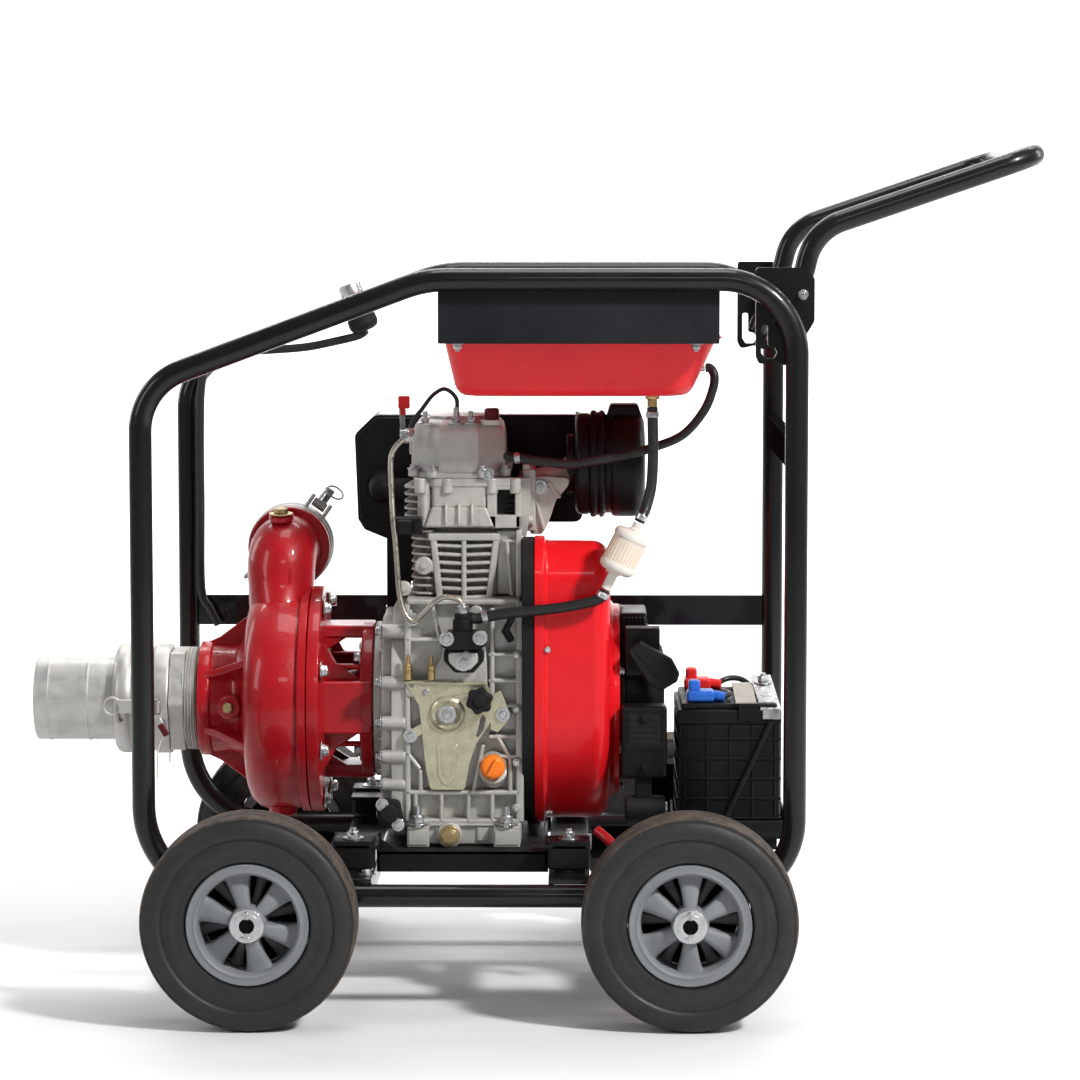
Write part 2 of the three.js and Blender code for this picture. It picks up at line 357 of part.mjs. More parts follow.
part('suction_adapter', cut(join(rod([-437.7, 0, CRANK_Z], [-420, 0, CRANK_Z], 70, 70, 6), CX(0, CRANK_Z, 64, -421, -403.3, 20), CX(0, CRANK_Z, 55.5, -492, -436, 20)), CX(0, CRANK_Z, 46, -500, -400, 16)), cast_alu());
{
  const c = place(0, 0, CRANK_Z);
  part('suction_coupler', turned('X', [0, 0, 0], [[44, COUPLER_END_X], [48, COUPLER_END_X], [52, -598], [52, -506], [68, -494], [68, -438.2], [56.8, -438.2], [56.8, -494], [44, -494]], 20), cast_alu(), c);
  for (const [s, side] of [[-1, 'near'], [1, 'far']]) {
    const l = place(-452, s * 78, 0, c);
    part(`cam_lever_${side}`, join(BX(-46, 6, -6, 6, -9, 9), CZ(0, 0, 9, -11, 11, 10), cut(CY(-52, 0, 13, -3, 3, 12), CY(-52, 0, 8, -4, 4, 8))), zinc(), l);
  }
}
{
  const d = place(DIS_X, 0, DIS_Z);
  part('discharge_cap', cut(CY(0, 0, 53, 50.5, 108, 22), CY(0, 0, 42.6, 40, 99, 16)), cast_alu(), d);
  for (const [a, side, raised] of [[35, 'upper', CAP_LEVER_RAISED], [225, 'lower', 0]]) {
    const hinge = place(0, 0, 0, d);
    hinge.rotation.y = a * Math.PI / 180;
    const l = place(0, 66, 62.5, hinge);
    l.rotation.x = raised;
    part(`cap_lever_${side}`, join(BX(-8, 8, -5, 40, -5, 5), CX(0, 0, 8, -11, 11, 10), cut(CZ(0, 48, 13, -2.5, 2.5, 12), CZ(0, 48, 8, -4, 4, 8))), zinc(), l);
  }
}

export default group;
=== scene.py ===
import bpy, bmesh, math
from mathutils import Vector, Matrix, Quaternion
from mathutils.geometry import tessellate_polygon


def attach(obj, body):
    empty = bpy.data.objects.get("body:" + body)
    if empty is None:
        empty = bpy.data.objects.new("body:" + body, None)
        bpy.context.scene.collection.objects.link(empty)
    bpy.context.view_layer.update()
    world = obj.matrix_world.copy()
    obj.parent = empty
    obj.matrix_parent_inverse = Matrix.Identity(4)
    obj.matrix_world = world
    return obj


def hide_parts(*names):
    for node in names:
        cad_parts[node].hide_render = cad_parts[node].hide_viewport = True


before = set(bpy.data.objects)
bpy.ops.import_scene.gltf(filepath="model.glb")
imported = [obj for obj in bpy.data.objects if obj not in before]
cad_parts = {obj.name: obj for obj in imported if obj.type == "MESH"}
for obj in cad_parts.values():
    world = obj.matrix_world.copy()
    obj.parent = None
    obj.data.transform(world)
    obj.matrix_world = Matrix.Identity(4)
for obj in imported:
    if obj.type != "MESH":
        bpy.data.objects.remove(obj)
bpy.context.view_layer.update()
ROOT = "frame_and_engine"
sc = bpy.context.scene

# ------------------------------------------------------------------ camera, floor, light
cam_data = bpy.data.cameras.new("camera")
cam = bpy.data.objects.new("camera", cam_data)
sc.collection.objects.link(cam)
cam.location = (0.061, -4.49, 0.94)
cam.rotation_euler = (math.radians(90 - 5.14), 0, math.radians(0.593))
cam_data.sensor_width = 36
cam_data.lens = 122.3
cam_data.clip_end = 60
sc.camera = cam

sc.view_settings.view_transform = "Standard"
sc.view_settings.look = "None"
sc.view_settings.exposure = 0.0


def area(name, loc, target, size, power, size_y=None, col=(1, 1, 1)):
    l = bpy.data.lights.new(name, "AREA")
    l.shape = "RECTANGLE"
    l.size = size
    l.size_y = size_y or size
    l.energy = power
    l.color = col
    o = bpy.data.objects.new(name, l)
    sc.collection.objects.link(o)
    o.location = loc
    o.rotation_euler = (Vector(target) - Vector(loc)).to_track_quat("-Z", "Y").to_euler()
    return o


area("key", (2.6, -2.4, 3.1), (-0.05, 0, 0.35), 0.45, 235, 0.45)
area("left_soft", (-3.2, -2.0, 2.0), (0, 0, 0.45), 0.8, 26, 1.8)
area("front_strip", (0.6, -4.6, 2.6), (0, 0, 0.35), 1.4, 10, 0.35)
area("top", (0.1, 0.0, 3.2), (0, 0, 0.3), 1.2, 26, 1.2)
area("rim_right", (3.0, 1.2, 1.8), (0, 0, 0.5), 0.7, 22, 1.8)
area("rim_left", (-3.0, 1.6, 1.6), (0, 0, 0.5), 0.7, 20, 1.8)
area("backdrop_wash", (0, 3.6, 5.4), (0, 7.6, 1.4), 7.0, 860, 1.2)
area("backdrop_low", (0, 3.6, 4.6), (0, 6.2, 0.0), 6.0, 150, 0.8)
w = bpy.data.worlds.new("studio")
sc.world = w
w.use_nodes = True
w.node_tree.nodes["Background"].inputs[0].default_value = (0.93, 0.94, 0.95, 1)
w.node_tree.nodes["Background"].inputs[1].default_value = 0.17


# ------------------------------------------------------------------ materials
class G:
    """Small helper round a material's node tree."""

    def __init__(self, name):
        self.m = bpy.data.materials.new(name)
        self.m.use_nodes = True
        self.t = self.m.node_tree
        self.b = self.t.nodes["Principled BSDF"]
        self.tc = self.n("ShaderNodeTexCoord")

    def n(self, kind, **kw):
        x = self.t.nodes.new(kind)
        for k, v in kw.items():
            setattr(x, k, v)
        return x

    def l(self, a, b):
        self.t.links.new(a, b)

    def noise(self, scale, detail=4, rough=0.55, stretch=None, distortion=0.0):
        x = self.n("ShaderNodeTexNoise")
        x.inputs["Scale"].default_value = scale
        x.inputs["Detail"].default_value = detail
        x.inputs["Roughness"].default_value = rough
        x.inputs["Distortion"].default_value = distortion
        if stretch:
            mp = self.n("ShaderNodeMapping")
            mp.inputs["Scale"].default_value = stretch
            self.l(self.tc.outputs["Object"], mp.inputs["Vector"])
            self.l(mp.outputs[0], x.inputs["Vector"])
        else:
            self.l(self.tc.outputs["Object"], x.inputs["Vector"])
        return x.outputs["Fac"]

    def voronoi(self, scale, feature="F1"):
        x = self.n("ShaderNodeTexVoronoi", feature=feature)
        x.inputs["Scale"].default_value = scale
        self.l(self.tc.outputs["Object"], x.inputs["Vector"])
        return x.outputs["Distance"]

    def ramp(self, fac, stops):
        r = self.n("ShaderNodeValToRGB")
        e = r.color_ramp.elements
        while len(e) < len(stops):
            e.new(0.5)
        for el, (p, c) in zip(e, stops):
            el.position = p
            el.color = (*c, 1) if len(c) == 3 else c
        self.l(fac, r.inputs[0])
        return r.outputs[0]

    def rng(self, fac, a, b, lo=0.3, hi=0.7):
        r = self.n("ShaderNodeMapRange")
        r.inputs["From Min"].default_value = lo
        r.inputs["From Max"].default_value = hi
        r.inputs["To Min"].default_value = a
        r.inputs["To Max"].default_value = b
        self.l(fac, r.inputs["Value"])
        return r.outputs[0]

    def mix(self, fac, a, b, mode="MIX"):
        x = self.n("ShaderNodeMix", data_type="RGBA", blend_type=mode)
        for s, v in ((0, fac), (6, a), (7, b)):
            if isinstance(v, (int, float)):
                x.inputs[s].default_value = v
            elif isinstance(v, tuple):
                x.inputs[s].default_value = (*v, 1) if len(v) == 3 else v
            else:
                self.l(v, x.inputs[s])
        return x.outputs[2]

    def bump(self, height, strength, dist, prev=None):
        x = self.n("ShaderNodeBump")
        x.inputs["Strength"].default_value = strength
        x.inputs["Distance"].default_value = dist
        self.l(height, x.inputs["Height"])
        if prev is not None:
            self.l(prev, x.inputs["Normal"])
        return x.outputs[0]


def done(g, color=None, rough=None, normal=None, metal=0.0, coat=0.0, coat_rough=0.05, spec=0.2):
    b = g.b
    if color is not None:
        g.l(color, b.inputs["Base Color"])
    if rough is not None:
        g.l(rough, b.inputs["Roughness"])
    if normal is not None:
        g.l(normal, b.inputs["Normal"])
    b.inputs["Metallic"].default_value = metal
    b.inputs["Coat Weight"].default_value = coat
    b.inputs["Coat Roughness"].default_value = coat_rough
    b.inputs["Specular IOR Level"].default_value = spec
    return g.m


def scale_col(c, k):
    return tuple(min(1, x * k) for x in c)


def paint(name, c, rough=0.22, var=0.12, peel=0.25, grain=0.0, coat=0.6, dust=0.0, blotch=14, spec=0.2):
    """Brushed or sprayed enamel: slow colour drift, orange peel, scuffs, dust that settles on it."""
    g = G(name)
    drift = g.noise(blotch, 5, 0.6)
    col = g.ramp(drift, [(0.28, scale_col(c, 1 - var)), (0.55, c), (0.78, scale_col(c, 1 + var * 0.8))])
    speck = g.noise(420, 3, 0.7)
    col = g.mix(g.rng(speck, 0, 0.16, 0.58, 0.74), col, scale_col(c, 0.45))
    if dust:
        geo = g.n("ShaderNodeNewGeometry")
        sep = g.n("ShaderNodeSeparateXYZ")
        g.l(geo.outputs["Normal"], sep.inputs[0])
        up = g.rng(sep.outputs[2], 0, dust, 0.25, 1.0)
        mul = g.n("ShaderNodeMath", operation="MULTIPLY")
        g.l(up, mul.inputs[0])
        g.l(g.rng(g.noise(60, 6, 0.7), 0.1, 1.0), mul.inputs[1])
        col = g.mix(mul.outputs[0], col, (0.42, 0.39, 0.34))
    smear = g.noise(9, 6, 0.65, stretch=(1, 1, 0.35))
    rgh = g.rng(smear, rough * 0.7, rough * 1.7)
    nrm = g.bump(g.noise(150, 2, 0.5), peel, 0.0006)
    nrm = g.bump(g.noise(38, 3, 0.55), peel * 0.8, 0.0012, nrm)
    if grain:
        nrm = g.bump(g.noise(700, 4, 0.7), grain, 0.0005, nrm)
    return done(g, col, rgh, nrm, coat=coat, coat_rough=0.06, spec=spec)


def cast(name, c, rough=0.5, metal=0.75, grain=0.5, dirt=0.35, scale=520, spec=0.5):
    """As-cast light alloy: fine sand grain, soft flow marks, darker grime in patches."""
    g = G(name)
    drift = g.noise(22, 6, 0.65)
    col = g.ramp(drift, [(0.25, scale_col(c, 0.78)), (0.5, c), (0.75, scale_col(c, 1.12))])
    grime = g.noise(46, 8, 0.72, distortion=0.6)
    col = g.mix(g.rng(grime, 0, dirt, 0.52, 0.72), col, (0.16, 0.145, 0.125))
    rgh = g.rng(g.noise(90, 5, 0.6), rough * 0.8, min(0.95, rough * 1.3))
    nrm = g.bump(g.noise(scale, 5, 0.75), grain, 0.0006)
    nrm = g.bump(g.noise(120, 3, 0.6), grain * 0.5, 0.0010, nrm)
    return done(g, col, rgh, nrm, metal=metal, spec=spec)


def machined(name, c, rough=0.3, ring=True, metal=1.0, stain=0.2):
    g = G(name)
    col = g.ramp(g.noise(75, 5, 0.6), [(0.3, scale_col(c, 0.8)), (0.6, c), (0.8, scale_col(c, 1.1))])
    col = g.mix(g.rng(g.noise(30, 7, 0.7), 0, stain, 0.5, 0.75), col, (0.22, 0.18, 0.12))
    rgh = g.rng(g.noise(160, 4, 0.6), rough * 0.65, rough * 1.5)
    nrm = g.bump(g.noise(1400, 3, 0.6), 0.06, 0.0002)
    return done(g, col, rgh, nrm, metal=metal)


def plastic(name, c, rough=0.45, grain=0.25, scale=900, var=0.2, coat=0.0):
    g = G(name)
    col = g.ramp(g.noise(30, 5, 0.6), [(0.3, scale_col(c, 1 - var)), (0.7, scale_col(c, 1 + var))])
    col = g.mix(g.rng(g.noise(260, 4, 0.7), 0, 0.10, 0.6, 0.8), col, (0.22, 0.21, 0.20))
    rgh = g.rng(g.noise(24, 6, 0.65), rough * 0.75, min(0.95, rough * 1.35))
    v = g.voronoi(scale)
    nrm = g.bump(v, grain, 0.0003)
    return done(g, col, rgh, nrm, coat=coat)


def rubber(name, c, rough=0.62, dust=0.0, dustcol=(0.16, 0.13, 0.10), scale=260):
    g = G(name)
    col = g.ramp(g.noise(26, 6, 0.65), [(0.3, scale_col(c, 0.75)), (0.7, scale_col(c, 1.3))])
    if dust:
        col = g.mix(g.rng(g.noise(55, 8, 0.75), 0, dust, 0.42, 0.72), col, dustcol)
    rgh = g.rng(g.noise(40, 6, 0.7), rough * 0.8, min(0.95, rough * 1.25))
    nrm = g.bump(g.noise(scale, 6, 0.7), 0.22, 0.0005)
    nrm = g.bump(g.noise(28, 4, 0.6), 0.15, 0.0012, nrm)
    return done(g, col, rgh, nrm, spec=0.4)


M = {}
M["frame"] = paint("frame_gloss_black", (0.005, 0.0052, 0.006), 0.26, 0.25, 0.12, coat=0.35, dust=0.02)
M["satin"] = paint("satin_black", (0.0065, 0.0067, 0.0078), 0.42, 0.25, 0.3, grain=0.15, coat=0.0, dust=0.04)
M["guard"] = paint("guard_satin_black", (0.0105, 0.011, 0.0135), 0.4, 0.25, 0.22, grain=0.2, coat=0.0, dust=0.04)
M["dull"] = paint("dull_black", (0.006, 0.006, 0.007), 0.85, 0.25, 0.2, grain=0.2, coat=0.0, spec=0.0)
M["pump"] = paint("pump_red_enamel", (0.36, 0.006, 0.011), 0.3, 0.18, 0.6, grain=0.25, coat=0.32, dust=0.02, blotch=20)
M["shroud"] = paint("shroud_red", (0.66, 0.007, 0.012), 0.24, 0.08, 0.12, coat=0.25, dust=0.02)
M["tank"] = paint("tank_red", (0.80, 0.024, 0.030), 0.3, 0.06, 0.08, coat=0.10, dust=0.02)
M["alu"] = cast("cast_aluminium", (0.46, 0.45, 0.42), 0.48, 0.5, 0.55, 0.34)
M["alu_fine"] = cast("die_cast_cover", (0.52, 0.51, 0.485), 0.42, 0.55, 0.35, 0.16, 700)
M["alu_sand"] = cast("sand_cast_coupling", (0.60, 0.585, 0.56), 0.42, 0.72, 0.65, 0.22, 380)
M["alu_bright"] = cast("bead_blasted_aluminium", (0.50, 0.49, 0.465), 0.42, 0.6, 0.18, 0.06, 900)
M["pipe"] = machined("steel_pipe", (0.46, 0.43, 0.37), 0.34, stain=0.3)
M["zinc"] = machined("zinc_plate", (0.60, 0.61, 0.62), 0.3, stain=0.18)
M["steel"] = machined("dark_steel", (0.30, 0.30, 0.30), 0.38, stain=0.35)
M["yzinc"] = machined("yellow_zinc", (0.56, 0.535, 0.38), 0.34, stain=0.3, metal=0.7)
M["brass"] = machined("brass", (0.58, 0.42, 0.18), 0.34, stain=0.3)
M["gold"] = machined("yellow_passivated", (0.50, 0.38, 0.20), 0.4, stain=0.45)
M["bronze"] = machined("bronze", (0.42, 0.28, 0.10), 0.4, stain=0.3)
M["tyre"] = rubber("tyre_rubber", (0.0145, 0.0142, 0.0142), 0.52, 0.10, (0.075, 0.072, 0.068))
M["tread"] = rubber("tyre_tread_dusty", (0.030, 0.026, 0.023), 0.8, 0.75, (0.15, 0.105, 0.075), 160)
M["hose"] = rubber("hose_rubber", (0.012, 0.012, 0.013), 0.42)
M["mount"] = rubber("mount_rubber", (0.02, 0.02, 0.021), 0.72, 0.3)
M["rim"] = paint("rim_grey", (0.19, 0.203, 0.212), 0.42, 0.14, 0.3, grain=0.2, coat=0.0, dust=0.12)
M["black"] = plastic("black_plastic", (0.005, 0.005, 0.0055), 0.42, 0.25)
M["black_gloss"] = plastic("black_gloss_plastic", (0.006, 0.006, 0.0065), 0.38, 0.08)
M["black_rough"] = plastic("black_textured_plastic", (0.010, 0.010, 0.011), 0.6, 0.6, 700)
M["muffler"] = paint("muffler_black", (0.007, 0.007, 0.0075), 0.5, 0.3, 0.25, grain=0.25, coat=0.0, dust=0.04)
M["orange"] = plastic("orange_plastic", (0.88, 0.20, 0.015), 0.35, 0.15, var=0.08, coat=0.2)
M["redp"] = plastic("red_plastic", (0.62, 0.02, 0.02), 0.35, 0.15, var=0.1, coat=0.2)
M["bluep"] = plastic("blue_plastic", (0.02, 0.12, 0.52), 0.35, 0.15, var=0.1, coat=0.2)
M["paper"] = plastic("filter_paper", (0.80, 0.52, 0.33), 0.7, 0.2, var=0.08)
M["cream"] = plastic("milky_plastic", (0.66, 0.62, 0.56), 0.3, 0.08, var=0.05, coat=0.4)
M["dark_red"] = plastic("dark_red_plastic", (0.085, 0.006, 0.008), 0.4, 0.15, var=0.1, coat=0.1)
M["beige"] = plastic("beige_strip", (0.34, 0.32, 0.28), 0.45, 0.2, var=0.1)


# ------------------------------------------------------------------ geometry helpers (mm)
def bevel(bm, width, segs=2, ang=28):
    if width <= 0:
        return
    a = math.radians(ang)
    es = [e for e in bm.edges if len(e.link_faces) == 2 and e.calc_face_angle(0) > a]
    if es:
        bmesh.ops.bevel(bm, geom=es, offset=width, offset_type="OFFSET", segments=segs, profile=0.5, affect="EDGES", clamp_overlap=True)


def perp(d):
    d = d.normalized()
    u = Vector((0, 0, 1)) if abs(d.z) < 0.9 else Vector((1, 0, 0))
    a = d.cross(u).normalized()
    return a, a.cross(d).normalized()


class Piece:
    def __init__(s, name, body=ROOT, replaces=(), slot=None):
        s.name, s.body, s.rep, s.slot = name, body, replaces, slot
        s.V, s.F, s.I, s.mats = [], [], [], []

    def put(s, bm, mat):
        bmesh.ops.recalc_face_normals(bm, faces=bm.faces[:])
        if mat not in s.mats:
            s.mats.append(mat)
        k, base = s.mats.index(mat), len(s.V)
        bm.verts.index_update()
        s.V += [tuple(v.co) for v in bm.verts]
        for f in bm.faces:
            s.F.append([base + v.index for v in f.verts])
            s.I.append(k)
        bm.free()
        return s

    def solid(s, verts, faces, mat, b=0.8, segs=2, ang=28, T=None):
        bm = bmesh.new()
        vs = [bm.verts.new(v) for v in verts]
        for f in faces:
            try:
                bm.faces.new([vs[i] for i in f])
            except ValueError:
                pass
        bmesh.ops.recalc_face_normals(bm, faces=bm.faces[:])
        bevel(bm, b, segs, ang)
        if T is not None:
            bm.transform(T)
        return s.put(bm, mat)

    def box(s, x0, x1, y0, y1, z0, z1, mat, b=1.0, segs=2, T=None):
        v = [(x0, y0, z0), (x1, y0, z0), (x1, y1, z0), (x0, y1, z0), (x0, y0, z1), (x1, y0, z1), (x1, y1, z1), (x0, y1, z1)]
        f = [(0, 3, 2, 1), (4, 5, 6, 7), (0, 1, 5, 4), (1, 2, 6, 5), (2, 3, 7, 6), (3, 0, 4, 7)]
        return s.solid(v, f, mat, b, segs, T=T)

    def bar(s, p0, p1, wd, th, mat, b=0.8, up=None, w1=None):
        """A flat or square bar from p0 to p1: wd across, th thick."""
        p0, p1 = Vector(p0), Vector(p1)
        d = (p1 - p0).normalized()
        n = (Vector(up) if up else perp(d)[1])
        n = (n - d * n.dot(d)).normalized()
        a = d.cross(n).normalized()
        w1 = wd if w1 is None else w1
        v = []
        for p, ww in ((p0, wd), (p1, w1)):
            for i, j in ((-1, -1), (1, -1), (1, 1), (-1, 1)):
                v.append(p + a * (i * ww / 2) + n * (j * th / 2))
        f = [(0, 1, 2, 3), (7, 6, 5, 4), (0, 4, 5, 1), (1, 5, 6, 2), (2, 6, 7, 3), (3, 7, 4, 0)]
        return s.solid(v, f, mat, b)

    def lathe(s, c, d, prof, mat, n=64, a0=0.0, a1=360.0):
        """Profile [(r, along)] turned about direction d through c. Ends on the axis or closes on itself."""
        c, d = Vector(c), Vector(d).normalized()
        u, v = perp(d)
        full = abs(a1 - a0) >= 359.9
        closed = prof[0][0] > 1e-6 or prof[-1][0] > 1e-6
        bm = bmesh.new()
        rings = []
        for r, a in prof:
            if r < 1e-6:
                rings.append([bm.verts.new(c + d * a)])
            else:
                m = n if full else n + 1
                rings.append([bm.verts.new(c + d * a + (u * math.cos(t) + v * math.sin(t)) * r) for t in (math.radians(a0 + (a1 - a0) * k / n) for k in range(m))])
        pairs = list(zip(rings, rings[1:]))
        if closed:
            pairs.append((rings[-1], rings[0]))
        for A, B in pairs:
            m = n
            for k in range(m):
                k2 = (k + 1) % len(A) if len(A) > 1 else 0
                k3 = (k + 1) % len(B) if len(B) > 1 else 0
                if not full:
                    k2, k3 = (k + 1 if len(A) > 1 else 0), (k + 1 if len(B) > 1 else 0)
                q = [A[k] if len(A) > 1 else A[0], A[k2] if len(A) > 1 else None, B[k3] if len(B) > 1 else None, B[k] if len(B) > 1 else B[0]]
                q = [x for x in q if x is not None]
                if len(set(q)) >= 3:
                    try:
                        bm.faces.new(q)
                    except ValueError:
                        pass
        return s.put(bm, mat)

    def cyl(s, p0, p1, r0, mat, r1=None, n=32, b=0.7, segs=2):
        p0, p1 = Vector(p0), Vector(p1)
        r1 = r0 if r1 is None else r1
        L = (p1 - p0).length
        b = min(b, L * 0.45, r0 * 0.45, r1 * 0.45)
        pr = [(0, 0)]
        if b > 0:
            for k in range(segs + 1):
                t = math.pi / 2 * k / segs
                pr.append((r0 - b + b * math.sin(t), b - b * math.cos(t)))
            for k in range(segs + 1):
                t = math.pi / 2 * k / segs
                pr.append((r1 - b + b * math.cos(t), L - b + b * math.sin(t)))
        else:
            pr += [(r0, 0), (r1, L)]
        pr.append((0, L))
        return s.lathe(p0, p1 - p0, pr, mat, n)

    def prism(s, plane, out, a0, a1, mat, b=0.8, segs=2, holes=(), ang=28, T=None):
        loops = [list(out)] + [list(h) for h in holes]
        f3 = {"XZ": lambda u, v, w: (u, w, v), "XY": lambda u, v, w: (u, v, w), "YZ": lambda u, v, w: (w, u, v)}[plane]
        bm = bmesh.new()
        lo, hi = [], []
        for lp in loops:
            lo.append([bm.verts.new(f3(u, v, a0)) for u, v in lp])
            hi.append([bm.verts.new(f3(u, v, a1)) for u, v in lp])
        for L, H in zip(lo, hi):
            for k in range(len(L)):
                bm.faces.new((L[k], L[(k + 1) % len(L)], H[(k + 1) % len(H)], H[k]))
        if holes:
            tri = tessellate_polygon([[Vector((u, v, 0)) for u, v in lp] for lp in loops])
            fl, fh = [v for L in lo for v in L], [v for H in hi for v in H]
            for t in tri:
                for S in (fl, fh):
                    try:
                        bm.faces.new([S[i] for i in t])
                    except ValueError:
                        pass
        else:
            bm.faces.new(lo[0])
            bm.faces.new(hi[0][::-1])
        bmesh.ops.recalc_face_normals(bm, faces=bm.faces[:])
        bevel(bm, b, segs, ang)
        if T is not None:
            bm.transform(T)
        return s.put(bm, mat)

    def tube(s, pts, r, mat, n=20, closed=False, radii=None):
        P = [Vector(p) for p in pts]
        m = len(P)
        T = []
        for i in range(m):
            a, b = (P[i - 1], P[(i + 1) % m]) if closed else (P[max(i - 1, 0)], P[min(i + 1, m - 1)])
            T.append((b - a).normalized())
        u, _ = perp(T[0])
        bm = bmesh.new()
        rings = []
        for i in range(m):
            if i:
                q = T[i - 1].rotation_difference(T[i])
                u = q @ u
                u = (u - T[i] * u.dot(T[i])).normalized()
            v = T[i].cross(u)
            rr = radii[i] if radii else r
            rings.append([bm.verts.new(P[i] + (u * math.cos(t) + v * math.sin(t)) * rr) for t in (2 * math.pi * k / n for k in range(n))])
        shift = 0
        if closed:
            q = T[-1].rotation_difference(T[0])
            e = q @ u
            d0 = rings[0][0].co - P[0]
            shift = round(math.atan2(T[0].dot(d0.cross(e)), d0.dot(e)) / (2 * math.pi) * n) % n
        for i in range(m - 1):
            for k in range(n):
                bm.faces.new((rings[i][k], rings[i][(k + 1) % n], rings[i + 1][(k + 1) % n], rings[i + 1][k]))
        if closed:
            for k in range(n):
                bm.faces.new((rings[-1][k], rings[-1][(k + 1) % n], rings[0][(k + 1 + shift) % n], rings[0][(k + shift) % n]))
        else:
            for R, p, t, rr in ((rings[0], P[0], -T[0], radii[0] if radii else r), (rings[-1], P[-1], T[-1], radii[-1] if radii else r)):
                c = bm.verts.new(p + t * rr * 0.12)
                for k in range(n):
                    bm.faces.new((R[k], R[(k + 1) % n], c))
        return s.put(bm, mat)

    def hexbolt(s, p, d, af=10.0, h=5.0, mat=None, washer=True, shank=0.0, nut=False):
        """Bolt head or nut seated at p, standing along d, af across flats."""
        mat = mat or M["zinc"]
        p, d = Vector(p), Vector(d).normalized()
        u, v = perp(d)
        z = 0.0
        if washer:
            s.cyl(p, p + d * 1.4, af * 0.98, mat, n=28, b=0.35)
            z = 1.4
        R = af / math.sqrt(3)
        bm = bmesh.new()
        lay = [(R * 0.93, 0.0), (R, 0.35), (R, h - 0.9), (R * 0.88, h)]
        rings = [[bm.verts.new(p + d * (z + a) + (u * math.cos(t) + v * math.sin(t)) * r) for t in (math.pi / 3 * k + 0.3 for k in range(6))] for r, a in lay]
        for A, B in zip(rings, rings[1:]):
            for k in range(6):
                bm.faces.new((A[k], A[(k + 1) % 6], B[(k + 1) % 6], B[k]))
        bm.faces.new(rings[0])
        bm.faces.new(rings[-1][::-1])
        s.put(bm, mat)
        if nut or shank:
            t = shank or h * 0.45
            s.cyl(p + d * (z + h - 0.5), p + d * (z + h + t), af * 0.29, mat, n=18, b=0.5)
        else:
            s.cyl(p + d * (z + h - 0.2), p + d * (z + h + 0.35), af * 0.40, mat, n=24, b=0.25)
        return s

    def make(s, weighted=True):
        me = bpy.data.meshes.new(s.name)
        k = 0.001
        me.from_pydata([(x * k, y * k, z * k) for x, y, z in s.V], [], s.F)
        for m in s.mats:
            me.materials.append(m)
        me.polygons.foreach_set("material_index", s.I)
        me.update()
        bm = bmesh.new()
        bm.from_mesh(me)
        bmesh.ops.remove_doubles(bm, verts=bm.verts[:], dist=1e-7)
        lim = math.radians(46)
        for e in bm.edges:
            e.smooth = not (len(e.link_faces) == 2 and e.calc_face_angle(0) > lim)
        for f in bm.faces:
            f.smooth = True
        bm.to_mesh(me)
        bm.free()
        o = bpy.data.objects.new(s.name, me)
        sc.collection.objects.link(o)
        if weighted:
            wn = o.modifiers.new("weighted", "WEIGHTED_NORMAL")
            wn.keep_sharp = True
            wn.weight = 80
        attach(o, s.body)
        if s.rep:
            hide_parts(*([s.rep] if isinstance(s.rep, str) else s.rep))
        return o


def bent(corners, step=6, closed=False):
    """Corners (x, y, z, radius): straights joined by arcs."""
    V = [Vector(c[:3]) for c in corners]
    n = len(V)
    out = [] if closed else [V[0]]
    for i in (range(n) if closed else range(1, n - 1)):
        a, b = (V[i - 1] - V[i]).normalized(), (V[(i + 1) % n] - V[i]).normalized()
        ang = math.pi - a.angle(b)
        R = corners[i][3]
        d = R * math.tan(ang / 2)
        st = V[i] + a * d
        ax = (-a).cross(b).normalized()
        c = st + ax.cross(-a).normalized() * R
        m = max(3, math.ceil(math.degrees(ang) / step))
        for k in range(m + 1):
            out.append(c + Quaternion(ax, ang * k / m) @ (st - c))
    if not closed:
        out.append(V[-1])
    # fill long straights so the tube shades evenly
    res = []
    m = len(out)
    for i in range(m if closed else m - 1):
        p, q = out[i], out[(i + 1) % m]
        res.append(p)
        L = (q - p).length
        if L > 60:
            for k in range(1, int(L // 60) + 1):
                res.append(p.lerp(q, k / (int(L // 60) + 1)))
    if not closed:
        res.append(out[-1])
    return res


def smooth(pts, per=6):
    P = [Vector(p) for p in pts]
    P = [P[0] * 2 - P[1]] + P + [P[-1] * 2 - P[-2]]
    out = []
    for i in range(1, len(P) - 2):
        a, b, c, d = P[i - 1 : i + 3]
        for k in range(per):
            t = k / per
            out.append(0.5 * ((2 * b) + (c - a) * t + (2 * a - 5 * b + 4 * c - d) * t * t + (3 * b - a - 3 * c + d) * t**3))
    out.append(P[-2])
    return out


def arc(cx, cy, r, a0, a1, n):
    return [(cx + r * math.cos(math.radians(a0 + (a1 - a0) * k / n)), cy + r * math.sin(math.radians(a0 + (a1 - a0) * k / n))) for k in range(n + 1)]


def circ(cx, cy, r, n=24):
    return arc(cx, cy, r, 0, 360, n)[:-1]


def rrect(x0, x1, y0, y1, r, n=4):
    return arc(x1 - r, y1 - r, r, 0, 90, n) + arc(x0 + r, y1 - r, r, 90, 180, n) + arc(x0 + r, y0 + r, r, 180, 270, n) + arc(x1 - r, y0 + r, r, 270, 360, n)


